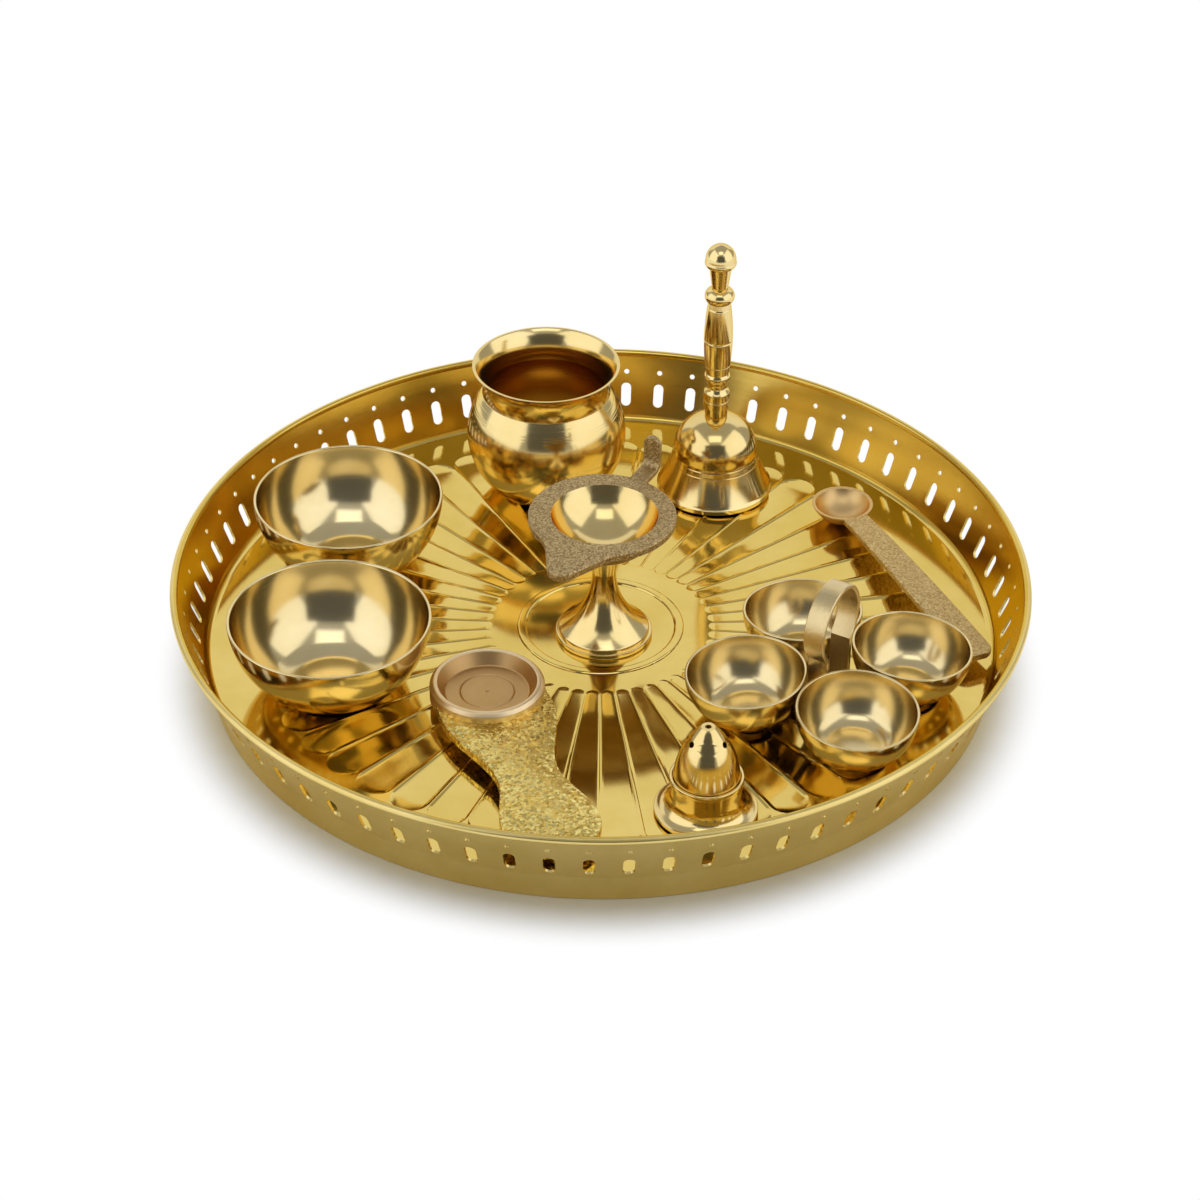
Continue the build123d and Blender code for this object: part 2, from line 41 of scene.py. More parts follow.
weld = 0.002 * mm  # points nearer than this become one
standZ = 9.0  # height at which the vessels stand, in mm
aboutZ = {"cent": (0, 0, 0), "axis": (0, 0, 1), "dvec": (0, 0, 0)}
print("frame loaded")


# sRGB hex to the linear colour that a socket takes
def linear(hexColour):
    parts = [int(hexColour[i : i + 2], 16) / 255 for i in (1, 3, 5)]
    return [c / 12.92 if c <= 0.04045 else ((c + 0.055) / 1.055) ** 2.4 for c in parts] + [1.0]


# one node, with its settings and what feeds it
def addNode(tree, kind, settings=None, links=None):
    node = tree.nodes.new(kind)
    for key, value in (settings or {}).items():
        if isinstance(key, int) or key in node.inputs:
            node.inputs[key].default_value = value
        else:
            setattr(node, key, value)
    for key, source in (links or {}).items():
        tree.links.new(source, node.inputs[key])
    return node


def newMaterial(name):
    material = bpy.data.materials.new(name)
    material.use_nodes = True
    material.node_tree.nodes.clear()
    return material, material.node_tree


# the metal in which both kinds of brass end: tone and roughness follow their patterns
def addMetal(tree, look, tone, wear, normal):
    colour = addNode(tree, "ShaderNodeValToRGB", None, {"Fac": tone})
    for stop, key, at in zip(colour.color_ramp.elements, ("deep", "pale"), look["tones"]):
        stop.color, stop.position = linear(look[key]), at
    gloss = {"To Min": look["gloss"][0], "To Max": look["gloss"][1]}
    rough = addNode(tree, "ShaderNodeMapRange", gloss, {"Value": wear})
    metal = {"Metallic": 1.0, "Specular Tint": linear(look["edge"])}
    sources = {"Base Color": colour.outputs[0], "Roughness": rough.outputs[0], "Normal": normal}
    shader = addNode(tree, "ShaderNodeBsdfPrincipled", metal, sources)
    addNode(tree, "ShaderNodeOutputMaterial", None, {"Surface": shader.outputs[0]})


# Polished brass, spun or turned: a mirror with a warm cast, turning marks round its axis, drawn coarser than
# real ones so that they show, and the faint unevenness of hand buffing, which makes reflections swim a little
def polishedBrass(name, look):
    material, tree = newMaterial(name)
    coords = addNode(tree, "ShaderNodeTexCoord")
    centre = [-look["axis"][0] * mm, -look["axis"][1] * mm, 0]
    local = addNode(tree, "ShaderNodeMapping", {"Location": centre}, {"Vector": coords.outputs["Object"]})
    inPlan = {"operation": "MULTIPLY", 1: (1, 1, 0)}
    flat = addNode(tree, "ShaderNodeVectorMath", inPlan, {0: local.outputs[0]})
    radius = addNode(tree, "ShaderNodeVectorMath", {"operation": "LENGTH"}, {0: flat.outputs[0]})
    height = addNode(tree, "ShaderNodeSeparateXYZ", None, {0: local.outputs[0]})
    section = {"X": radius.outputs["Value"], "Y": height.outputs["Z"]}
    turned = addNode(tree, "ShaderNodeCombineXYZ", None, section)
    fine = {"noise_dimensions": "2D", "Scale": 1 / (look["markSpacing"] * mm), "Detail": 3.0}
    marks = addNode(tree, "ShaderNodeTexNoise", fine, {"Vector": turned.outputs[0]})
    broad = {"Scale": 1 / (look["buffSpacing"] * mm), "Detail": 1.0}
    buffing = addNode(tree, "ShaderNodeTexNoise", broad, {"Vector": local.outputs[0]})
    cloudy = {"Scale": 1 / (look["tarnishSize"] * mm), "Detail": 4.0, "Roughness": 0.6}
    tarnish = addNode(tree, "ShaderNodeTexNoise", cloudy, {"Vector": local.outputs[0]})
    shallow = {"Strength": look["markBump"], "Distance": look["markDepth"] * mm}
    scratch = addNode(tree, "ShaderNodeBump", shallow, {"Height": marks.outputs["Fac"]})
    gentle = {"Strength": look["buffBump"], "Distance": look["buffDepth"] * mm}
    overMarks = {"Height": buffing.outputs["Fac"], "Normal": scratch.outputs[0]}
    swim = addNode(tree, "ShaderNodeBump", gentle, overMarks)
    addMetal(tree, look, tarnish.outputs["Fac"], marks.outputs["Fac"], swim.outputs[0])
    return material


# what all cast finishes have
castLook = {"tones": (0.15, 0.85), "edge": "#FFFFFF"}


# Sand-cast brass, brushed over: grains that each lean their own way, so that some glint and others stay dull.
# The sand is finer in the hand; its grains are drawn as coarse as they need to show
def castBrass(name, look):
    material, tree = newMaterial(name)
    coords = addNode(tree, "ShaderNodeTexCoord")
    here = {"Vector": coords.outputs["Object"]}
    grains = addNode(tree, "ShaderNodeTexVoronoi", {"Scale": 1 / (look["grain"] * mm)}, here)
    patches = addNode(tree, "ShaderNodeTexNoise", {"Scale": 1 / (look["patch"] * mm), "Detail": 4.0}, here)
    grain = addNode(tree, "ShaderNodeSeparateColor", None, {0: grains.outputs["Color"]})
    shared = {"A": grain.outputs["Red"], "B": patches.outputs["Fac"]}
    tone = addNode(tree, "ShaderNodeMix", {"Factor": look["patchShare"]}, shared)
    tilt = look["grainLean"]
    evenly = {"operation": "MULTIPLY_ADD", 1: [tilt] * 3, 2: [-tilt / 2] * 3}
    lean = addNode(tree, "ShaderNodeVectorMath", evenly, {0: grains.outputs["Color"]})
    shape = addNode(tree, "ShaderNodeNewGeometry")
    leaning = {0: shape.outputs["Normal"], 1: lean.outputs[0]}
    tilted = addNode(tree, "ShaderNodeVectorMath", {"operation": "ADD"}, leaning)
    facing = addNode(tree, "ShaderNodeVectorMath", {"operation": "NORMALIZE"}, {0: tilted.outputs[0]})
    addMetal(tree, {**castLook, **look}, tone.outputs[0], grain.outputs["Green"], facing.outputs[0])
    return material


# Walks an outline in the XZ half plane, in mm. A step is (r, z) for a line or (mid r, mid z, r, z) for
# an arc through its middle; one more number rounds the corner at the step's end.
def walkOutline(bm, start, steps, arcSteps, cornerSteps=5):
    vert = bm.verts.new((start[0] * mm, 0, start[1] * mm))
    corners = []
    for step in steps:
        if len(step) < 4:
            vert = bmesh.ops.extrude_vert_indiv(bm, verts=[vert])["verts"][0]
            vert.co = (step[0] * mm, 0, step[1] * mm)
        else:
            centre, angle = arcThrough(vert.co, step[:2], step[2:4])
            swept = bmesh.ops.spin(
                bm, geom=[vert], cent=centre, axis=(0, 1, 0), dvec=(0, 0, 0), angle=angle, steps=arcSteps
            )
            vert = swept["geom_last"][0]
        if len(step) in (3, 5):
            corners.append((vert, step[-1]))
    for corner, size in corners:
        bmesh.ops.bevel(
            bm,
            geom=[corner],
            offset=size * mm,
            offset_type="OFFSET",
            segments=cornerSteps,
            profile=0.5,
            affect="VERTICES",
            material=-1,
        )


# centre of the circle through three points of the XZ plane, and the turn about +Y from first to last
def arcThrough(first, mid, last):
    ax, az = first.x, first.z
    bx, bz = mid[0] * mm, mid[1] * mm
    cx, cz = last[0] * mm, last[1] * mm
    d = 2 * (ax * (bz - cz) + bx * (cz - az) + cx * (az - bz))
    a2, b2, c2 = ax * ax + az * az, bx * bx + bz * bz, cx * cx + cz * cz
    ux = (a2 * (bz - cz) + b2 * (cz - az) + c2 * (az - bz)) / d
    uz = (a2 * (cx - bx) + b2 * (ax - cx) + c2 * (bx - ax)) / d

    def bearing(x, z):
        return math.atan2(x - ux, z - uz)

    full = 2 * math.pi
    toMid = (bearing(bx, bz) - bearing(ax, az)) % full
    toLast = (bearing(cx, cz) - bearing(ax, az)) % full
    angle = toLast if toMid < toLast else toLast - full
    return (ux, 0, uz), angle


# joins points that meet and turns the faces outwards
def closeUp(bm, near=weld):
    bmesh.ops.remove_doubles(bm, verts=bm.verts, dist=near)
    bmesh.ops.recalc_face_normals(bm, faces=bm.faces)


# turns the outline that a bmesh holds about Z, and closes its poles
def turn(bm, turns):
    outline = bm.verts[:] + bm.edges[:]
    bmesh.ops.spin(bm, geom=outline, **aboutZ, angle=2 * math.pi, steps=turns, use_merge=True)
    closeUp(bm)


# a fine line scored round a turned piece; only points as near its outside as this, in mm, are moved in
def scoreLine(bm, z, width, depth, outside=0.3):
    for level in (z - width, z - width / 2, z, z + width / 2, z + width):
        everything = bm.verts[:] + bm.edges[:] + bm.faces[:]
        at = (0, 0, level * mm)
        bmesh.ops.bisect_plane(bm, geom=everything, dist=weld / 2, plane_co=at, plane_no=(0, 0, 1))
    ring = [v for v in bm.verts if abs(v.co.z - z * mm) < 5 * weld]
    reach = max(v.co.xy.length for v in ring)
    for vert in ring:
        size = vert.co.xy.length
        if reach - size < outside * mm:
            vert.co.xy *= (size - depth * mm) / size


# sets a piece in its place, turned about Z
def place(bm, x, y, z=standZ, turnDeg=0.0):
    where = Matrix.Translation((x * mm, y * mm, z * mm)) @ Matrix.Rotation(math.radians(turnDeg), 4, "Z")
    bmesh.ops.transform(bm, matrix=where, verts=bm.verts)


# an object in the scene that takes over a bmesh
def newObject(name, bm, *finish):
    mesh = bpy.data.meshes.new(name)
    bm.to_mesh(mesh)
    bm.free()
    for material in finish:
        mesh.materials.append(material)
    made = bpy.data.objects.new(name, mesh)
    scene.collection.objects.link(made)
    return made


# a finished piece, smooth but for edges sharper than the given angle
def makePiece(bm, name, body, node, slot, *finish, sharp=32.0):
    for face in bm.faces:
        face.smooth = True
    for edge in bm.edges:
        edge.smooth = edge.calc_face_angle(0.0) < math.radians(sharp)
    piece = newObject(name, bm, *finish)
    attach(piece, body)
    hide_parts(node)
    print(name, len(piece.data.polygons), "faces")


# takes another bmesh's faces into this one
def addPart(bm, part):
    mesh = bpy.data.meshes.new("part")
    part.to_mesh(mesh)
    part.free()
    bm.from_mesh(mesh)
    bpy.data.meshes.remove(mesh)


# repeats what a bmesh holds so many times round Z and joins the copies
def repeatRound(bm, count):
    cell = bm.verts[:] + bm.edges[:] + bm.faces[:]
    rest = 2 * math.pi * (count - 1) / count
    bmesh.ops.spin(bm, geom=cell, **aboutZ, angle=rest, steps=count - 1, use_duplicate=True)
    bmesh.ops.remove_doubles(bm, verts=bm.verts, dist=2 * weld)


# points of an arc in mm, from one angle to another in degrees
def arcPoints(centre, radius, first, last, steps):
    angles = [math.radians(first + (last - first) * i / steps) for i in range(steps + 1)]
    return [(centre[0] + radius * math.cos(a), centre[1] + radius * math.sin(a)) for a in angles]


# a grid of faces, its points where at puts them by column and row
def gridOf(bm, wide, high, at):
    for vert in bmesh.ops.create_grid(bm, x_segments=wide, y_segments=high, size=1.0)["verts"]:
        column, row = round((vert.co.x + 1) / 2 * wide), round((vert.co.y + 1) / 2 * high)
        vert.co = at(column, row)


# a skin over rows of points in mm; rows and columns that meet are joined
def skin(bm, rows):
    gridOf(bm, len(rows[0]) - 1, len(rows) - 1, lambda column, row: Vector(rows[row][column]) * mm)
    closeUp(bm)


# a flat bar bent along a path in XZ; its thickness goes to the right of the path, its edges are broken
def bentBar(bm, path, halfWidths, plate, edge):
    rows = []
    for i, (x, z) in enumerate(path):
        before, after = path[max(i - 1, 0)], path[min(i + 1, len(path) - 1)]
        way = Vector((after[0] - before[0], after[1] - before[1])).normalized()
        half = halfWidths[i]
        soft = min(edge, half / 2)
        ring = [(half, edge), (half, plate - edge), (half - soft, plate), (soft - half, plate)]
        ring += [(-half, plate - edge), (-half, edge), (soft - half, 0.0), (half - soft, 0.0), (half, edge)]
        rows.append([(x + way.y * depth, across, z - way.x * depth) for across, depth in ring])
    skin(bm, rows)
    bmesh.ops.holes_fill(bm, edges=[e for e in bm.edges if e.is_boundary], sides=0)
    bmesh.ops.recalc_face_normals(bm, faces=bm.faces)


# outline of a bowl whose wall follows one sphere, with a soft bend down to its bottom
def roundBowl(rimR, height, baseR, wall, lip, bottomR, foot=0.6):
    centreZ = (rimR**2 + height**2 - baseR**2) / (2 * height)
    outerR = math.hypot(baseR, centreZ)
    innerR = outerR - wall

    def at(sphereR, z):
        return math.sqrt(sphereR**2 - (z - centreZ) ** 2), z

    flatR = math.sqrt((innerR - bottomR) ** 2 - (centreZ - wall - bottomR) ** 2)
    lean = math.atan2(flatR, centreZ - wall - bottomR)
    meet = (innerR * math.sin(lean), centreZ - innerR * math.cos(lean))
    bend = (flatR + bottomR * math.sin(lean / 2), wall + bottomR * (1 - math.cos(lean / 2)))
    return [
        (baseR, 0.0, foot),
        (*at(outerR, height / 2), rimR, height, lip),
        (*at(innerR, height), lip),
        (*at(innerR, (height + meet[1]) / 2), *meet),
        (*bend, flatR, wall),
        (0.0, wall),
    ]


# what a turned piece has where its own dictionary says nothing else
turnedUsual = {"start": (0.0, 0.0), "arcSteps": 32, "turns": 160, "scored": []}


# turns the outline of a piece and scores its lines
def turnedPiece(piece):
    piece = {**turnedUsual, **piece}
    bm = bmesh.new()
    walkOutline(bm, piece["start"], piece["outline"], piece["arcSteps"])
    turn(bm, piece["turns"])
    for line in piece["scored"]:
        scoreLine(bm, *line)
    return bm


# Camera at the photograph's height and distance, in mm and degrees
shot = {
    "target": (-0.24, 15.8, 8.9),
    "pitch": 35.24,
    "distance": 1120.0,
    "roll": 0.36,
    "lens": 92.1,
    "sensor": 36.0,
    "nearest": 0.01,  # in m
}


def makeCamera():
    pitch, roll = math.radians(shot["pitch"]), math.radians(shot["roll"])
    back = Vector((0, -math.cos(pitch), math.sin(pitch)))
    side = Vector((1, 0, 0))
    up = back.cross(side)
    right = side * math.cos(roll) + up * math.sin(roll)
    up = up * math.cos(roll) - side * math.sin(roll)
    data = bpy.data.cameras.new("camera")
    data.lens = shot["lens"]
    data.sensor_width = shot["sensor"]
    data.clip_start = shot["nearest"]
    camera = bpy.data.objects.new("camera", data)
    turnTo = Matrix((right, up, back)).transposed().to_4x4()
    spot = (Vector(shot["target"]) + back * shot["distance"]) * mm
    camera.matrix_world = Matrix.Translation(spot) @ turnTo
    scene.collection.objects.link(camera)
    scene.camera = camera


# Studio: a white sweep in a grey room, soft boxes at both sides, above and behind, and a dark flag in front
# that gives the metal its edges. Only reflections see the room, the boxes and the flag.
studio = {
    "floorSize": 6.0,  # half its width, in m
    "floorTone": "#F6F6F4",
    "skyTone": "#FFFFFF",
    "skyLight": 0.4,  # of the world, and of the grey room that reflections see
    # radii in mm between which the sweep turns from lit by the lamps to plain white, for each kind of ray
    "whiteFrom": {
        "Is Camera Ray": (137, 160),
        "Is Transmission Ray": (137, 160),
        "Is Glossy Ray": (146, 190),
    },
    "whiteRound": (0.0, -5.0),  # middle of those radii, so that the shadow falls forward
    "roomR": 5.0,  # in m
    "cards": {
        # name: centre in m, width and height in m, brightness
        "boxLeft": ((-1.5, -0.55, 0.9), 2.4, 2.0, 1.2),
        "boxRight": ((1.5, -0.55, 0.9), 2.4, 2.0, 1.2),
        "boxTop": ((0.0, -0.75, 1.8), 1.1, 0.7, 1.5),
        "boxBack": ((0.0, 2.2, 1.1), 4.6, 2.3, 0.93),
        "flagFront": ((0.0, -1.4, 0.65), 1.7, 1.3, 0.1),
    },
    "lamp": {"at": (0.1, 0.35, 1.8), "size": (1.2, 1.0), "watts": 7.0},
}


# a glowing stage piece that only reflections see
def addReflected(name, bm, glow):
    paint, tree = newMaterial(name)
    light = addNode(tree, "ShaderNodeEmission", {"Strength": glow})
    addNode(tree, "ShaderNodeOutputMaterial", None, {"Surface": light.outputs[0]})
    panel = newObject(name, bm, paint)
    panel.visible_camera = False
    panel.visible_shadow = False
    panel.visible_diffuse = False


# the sweep: lit by the lamps near the tray, where the shadow falls, and plain white further out
def makeSweep():
    material, tree = newMaterial("whiteSweep")
    diffuse = addNode(tree, "ShaderNodeBsdfDiffuse", {"Color": linear(studio["floorTone"])})
    coords = addNode(tree, "ShaderNodeTexCoord")
    fromHere = {"operation": "DISTANCE", 1: [c * mm for c in studio["whiteRound"]] + [0.0]}
    away = addNode(tree, "ShaderNodeVectorMath", fromHere, {0: coords.outputs["Object"]})
    path = addNode(tree, "ShaderNodeLightPath")
    lit = addNode(tree, "ShaderNodeValue")
    lit.outputs[0].default_value = 0.0
    for ray, (first, last) in studio["whiteFrom"].items():
        softly = {"interpolation_type": "SMOOTHSTEP", "From Min": first * mm, "From Max": last * mm}
        fade = addNode(tree, "ShaderNodeMapRange", softly, {"Value": away.outputs["Value"]})
        terms = {0: path.outputs[ray], 1: fade.outputs[0], 2: lit.outputs[0]}
        lit = addNode(tree, "ShaderNodeMath", {"operation": "MULTIPLY_ADD"}, terms)
    white = addNode(tree, "ShaderNodeEmission", {"Strength": 1.0})
    shares = {0: lit.outputs[0], 1: diffuse.outputs[0], 2: white.outputs[0]}
    mix = addNode(tree, "ShaderNodeMixShader", None, shares)
    addNode(tree, "ShaderNodeOutputMaterial", None, {"Surface": mix.outputs[0]})
    bm = bmesh.new()
    bmesh.ops.create_grid(bm, x_segments=1, y_segments=1, size=studio["floorSize"])
    newObject("floor", bm, material)


def makeRoom():
    room = bmesh.new()
    bmesh.ops.create_icosphere(room, subdivisions=4, radius=studio["roomR"])
    addReflected("greyRoom", room, studio["skyLight"])
    for name, (centre, width, height, glow) in studio["cards"].items():
        card = bmesh.new()
        bmesh.ops.create_grid(card, x_segments=1, y_segments=1, size=0.5)
        bmesh.ops.scale(card, vec=(width, height, 1), verts=card.verts)
        aim = (-Vector(centre)).to_track_quat("Z", "Y").to_matrix().to_4x4()
        bmesh.ops.transform(card, matrix=Matrix.Translation(centre) @ aim, verts=card.verts)
        addReflected(name, card, glow)


# white behind the object, and an even soft light from all round
def makeSky():
    world = bpy.data.worlds.new("studio")
    scene.world = world
    world.use_nodes = True
    sky = world.node_tree
    sky.nodes.clear()
    rays = addNode(sky, "ShaderNodeLightPath")
    shown = rays.outputs["Is Camera Ray"]
    for ray in ("Is Glossy Ray", "Is Transmission Ray"):
        wider = addNode(sky, "ShaderNodeMath", {"operation": "MAXIMUM"}, {0: shown, 1: rays.outputs[ray]})
        shown = wider.outputs[0]
    skyTone = linear(studio["skyTone"])
    soft = addNode(sky, "ShaderNodeBackground", {"Color": skyTone, "Strength": studio["skyLight"]})
    backdrop = addNode(sky, "ShaderNodeBackground", {"Color": skyTone, "Strength": 1.0})
    shares = {0: shown, 1: soft.outputs[0], 2: backdrop.outputs[0]}
    both = addNode(sky, "ShaderNodeMixShader", None, shares)
    addNode(sky, "ShaderNodeOutputWorld", None, {"Surface": both.outputs[0]})


# overhead lamp for the contact shadow
def makeLamp():
    lamp = bpy.data.lights.new("topLamp", "AREA")
    lamp.shape = "RECTANGLE"
    lamp.size, lamp.size_y = studio["lamp"]["size"]
    lamp.energy = studio["lamp"]["watts"]
    holder = bpy.data.objects.new("topLamp", lamp)
    holder.location = studio["lamp"]["at"]
    holder.visible_glossy = False
    scene.collection.objects.link(holder)


makeCamera()
makeSweep()
makeRoom()
makeSky()
makeLamp()
scene.view_settings.view_transform = "Standard"
print("camera and studio ready")

# Finish of the vessels, which are a paler brass than the tray; sizes in mm
mirrorLook = {
    "markSpacing": 0.5,
    "markDepth": 0.02,
    "buffSpacing": 14.0,
    "buffDepth": 0.3,
    "tarnishSize": 30.0,
    "tones": (0.3, 0.7),
    "deep": "#E7CD8A",
    "pale": "#F2DDA4",
    "edge": "#F0D896",
    "gloss": (0.12, 0.19),
    "markBump": 0.04,
    "buffBump": 0.04,
}


# that finish round an axis at x, y, with what differs from it
def mirrorFor(name, x, y, **changes):
    return polishedBrass(name, {**mirrorLook, "axis": (x, y), **changes})


# a turned piece in its place, polished all over
def makeTurned(piece, at, name, body, node, finish, **changes):
    bm = turnedPiece(piece)
    place(bm, *at)
    makePiece(bm, name, body, node, "polished_brass", mirrorFor(finish, *at, **changes))


# Tray: wall cells pierced by a slot and a dot, a floor of flutes, a bead round the rim
tray = {
    "rimR": 152.5,
    "height": 34.9,
    "floorR": 141.0,
    "floorZ": 8.9,
    "sheet": 0.9,
    "beadR": 1.4,
    "tuck": 1.5,  # the sheet ends inside the bead, this many bead radii in from the rim
    "cornerR": 3.0,
    "wallStartR": 134.0,
    "cells": 71,
    "cellR": 145.0,  # radius at which a flat cell has its true width
    "cellColumns": 8,
    "cellRows": (10, 8, 4),  # in the bend below the slot, beside the slot, beside the dot
    "slot": (3.9, 9.0, 18.3),  # width, height, mid z
    "dot": (1.0, 26.9),  # radius, mid z
    "rows": (12.1, 24.4, 29.5),  # heights of the wall between which a slot and a dot are cut
    "search": (60.0, 50),  # longest way along the wall, and how often it is halved to find a height
    "flutes": 50,
    "fluteShares": (0.0, 0.35, 0.62, 0.78, 0.88, 0.95, 1.0),  # columns of half a flute, of its half width
    "fluteBed": (0.3, 0.7, 9),  # share of a round bed, share of a flat one, how square its sides are
    "fluteRows": (6, 16, 8),  # at a flute's start, along it, at its end
    "fluteStartR": 39.0,
    "fluteEndR": 124.5,
    "fluteDepth": 0.6,
    "landShare": 0.025,
    "ring": (26.5, 30.0, 0.6),  # inner r, outer r, height
    "ringShares": (0.05, 0.12, 0.22, 0.5, 0.78, 0.88, 0.95),  # rows across the ring, of its width
    "ringSquare": 6,
    "margins": (4.0, 3.0),  # flat floor left beyond the ring and beyond the flutes
    "floorEdgeR": 131.0,
    "wallFromR": 140.2,
    "beadSteps": (20, 304),  # round the bead, round the rim
    "sharp": 4.5,  # edges that turn by more than these degrees stay sharp
    "foot": {
        "turns": 284,
        "start": (137.9, 0.0),
        "outline": [(140.3, 0.0, 0.4), (143.05, 11.9), (142.5, 11.9), (140.8, 8.4), (137.9, 0.0)],
    },
}
# Spun brass of the floor: golden and as bright as a mirror
floorLook = {"deep": "#DDC067", "pale": "#E8CE7C", "gloss": (0.06, 0.12)}
# Spun brass of the wall's inside, with painted shade: drawn a deeper gold than the floor, since its light
# comes off the floor
wallPaintedShadeLook = {"deep": "#D6B454", "pale": "#E3C66A", "gloss": (0.14, 0.24), "markBump": 0.1}
# Satin brass of the wall's outside: reflections drawn out soft by brushing round the tray, which is its real
# finish, and drawn paler than the floor, which is painted light
outerSatinPaintedLightLook = {"deep": "#E2C878", "pale": "#EFD992", "edge": "#FFF4D8", "gloss": (0.26, 0.38), "markBump": 0.15}


# point and outward normal (r, z) of the tray's inside, so far along from where the wall part starts
def trayInside(s):
    startR, floorZ, cornerR, beadR = (tray[key] for key in ("wallStartR", "floorZ", "cornerR", "beadR"))
    spread = tray["rimR"] - beadR * tray["tuck"] - tray["floorR"]
    lean = math.atan2(spread, tray["height"] - beadR - floorZ)
    bend = math.pi / 2 - lean
    flat = tray["floorR"] - cornerR * math.tan(bend / 2) - startR
    arc = cornerR * bend
    if s <= flat:
        return startR + s, floorZ, 0.0, -1.0
    if s <= flat + arc:
        a = (s - flat) / cornerR
        r, z = startR + flat + cornerR * math.sin(a), floorZ + cornerR * (1 - math.cos(a))
        return r, z, math.sin(a), -math.cos(a)
    t = s - flat - arc
    r = startR + flat + cornerR * math.sin(bend) + t * math.sin(lean)
    z = floorZ + cornerR * (1 - math.cos(bend)) + t * math.cos(lean)
    return r, z, math.cos(lean), -math.sin(lean)


# length along the tray's inside at which the wall has this height, found by halving
def trayLengthAt(z):
    low = 0.0
    high, halvings = tray["search"]
    for _ in range(halvings):
        half = (low + high) / 2
        low, high = (half, high) if trayInside(half)[1] < z else (low, half)
    return low


# a strip of one cell: columns across, one row for each given length
def plainStrip(bm, halfWidth, lengths, columns):
    def at(column, row):
        return (2 * column / columns - 1) * halfWidth, lengths[row], 0

    gridOf(bm, columns, len(lengths) - 1, at)


# a block of one cell with a hole in it: a border of evenly spaced points bridged to the hole's rim, by way of
# a ring near the rim
def piercedBlock(bm, halfWidth, low, high, columns, sideSteps, holeAt, halfLength, holeR, ringShare=0.3):
    border = [(-1 + 2 * k / columns, low) for k in range(columns)]
    border += [(1, low + (high - low) * k / sideSteps) for k in range(sideSteps)]
    border += [(-x, low + high - y) for x, y in border]
    rings = [bmesh.ops.create_circle(bm, segments=len(border), radius=1.0)["verts"] for _ in range(3)]
    for k, (x, y) in enumerate(border):
        edge = Vector((x * halfWidth, y))
        bearing = edge - Vector((0, holeAt))
        if abs(bearing.y) > halfLength:
            bearing.y -= math.copysign(halfLength, bearing.y)
            shift = math.copysign(halfLength, bearing.y)
            rim = bearing.normalized() * holeR + Vector((0, shift + holeAt))
        else:
            rim = Vector((math.copysign(holeR, bearing.x), edge.y))
        for ring, spot in zip(rings, (edge, rim + (edge - rim) * ringShare, rim)):
            ring[k].co = (spot.x, spot.y, 0)
    edges = [list({e for vert in ring for e in vert.link_edges}) for ring in rings]
    bmesh.ops.bridge_loops(bm, edges=edges[0] + edges[1])
    bmesh.ops.bridge_loops(bm, edges=edges[1] + edges[2])


# gives a flat cell its thickness, then opens its own four sides again; the cell is still drawn in mm
def thickenCell(bm, halfWidth, low, high, sheet, near=0.001):
    closeUp(bm, near)
    grown = bmesh.ops.extrude_face_region(bm, geom=bm.faces[:], use_keep_orig=True)["geom"]
    for vert in grown:
        if isinstance(vert, bmesh.types.BMVert):
            vert.co.z = sheet
    sides = []
    for face in bm.faces:
        xs = [v.co.x for v in face.verts]
        ys = [v.co.y for v in face.verts]
        onSide = min(xs) > halfWidth - near or max(xs) < near - halfWidth
        onEnd = min(ys) > high - near or max(ys) < low + near
        if onSide or onEnd:
            sides.append(face)
    bmesh.ops.delete(bm, geom=sides, context="FACES")


# rolls the flat cell into its place on a round wall and repeats it round Z; wallAt gives a point of the
# wall, and the way its thickness goes, for a length along it
def rollCells(bm, wallAt, wallR, count):
    for vert in bm.verts:
        r, z, nr, nz = wallAt(vert.co.y)
        angle = vert.co.x / wallR
        r, z = r + nr * vert.co.z, z + nz * vert.co.z
        vert.co = (r * math.cos(angle) * mm, r * math.sin(angle) * mm, z * mm)
    repeatRound(bm, count)


def trayWall():
    bm = bmesh.new()
    columns = tray["cellColumns"]
    bendRows, slotRows, dotRows = tray["cellRows"]
    halfWidth = tray["cellR"] * math.pi / tray["cells"]
    slotW, slotH, slotZ = tray["slot"]
    dotR, dotZ = tray["dot"]
    slope = trayLengthAt(slotZ + 1) - trayLengthAt(slotZ)  # along the wall, for 1 mm of height
    slotLow, slotHigh, dotHigh = [trayLengthAt(z) for z in tray["rows"]]
    top = trayLengthAt(tray["height"] - tray["beadR"])
    aboveFloor = 0.0001
    start = trayLengthAt(tray["floorZ"] + aboveFloor)  # where the wall leaves the floor
    bend = [start + (slotLow - start) * i / bendRows for i in range(1, bendRows + 1)]
    plainStrip(bm, halfWidth, [0.0, start] + bend, columns)
    slotHalf = (slotH - slotW) / 2 * slope
    slotAt, dotAt = trayLengthAt(slotZ), trayLengthAt(dotZ)
    piercedBlock(bm, halfWidth, slotLow, slotHigh, columns, slotRows, slotAt, slotHalf, slotW / 2)
    piercedBlock(bm, halfWidth, slotHigh, dotHigh, columns, dotRows, dotAt, 0.0, dotR)
    plainStrip(bm, halfWidth, [dotHigh, (dotHigh + top) / 2, top], columns)
    thickenCell(bm, halfWidth, 0.0, top, tray["sheet"])
    rollCells(bm, trayInside, tray["cellR"], tray["cells"])
    return bm


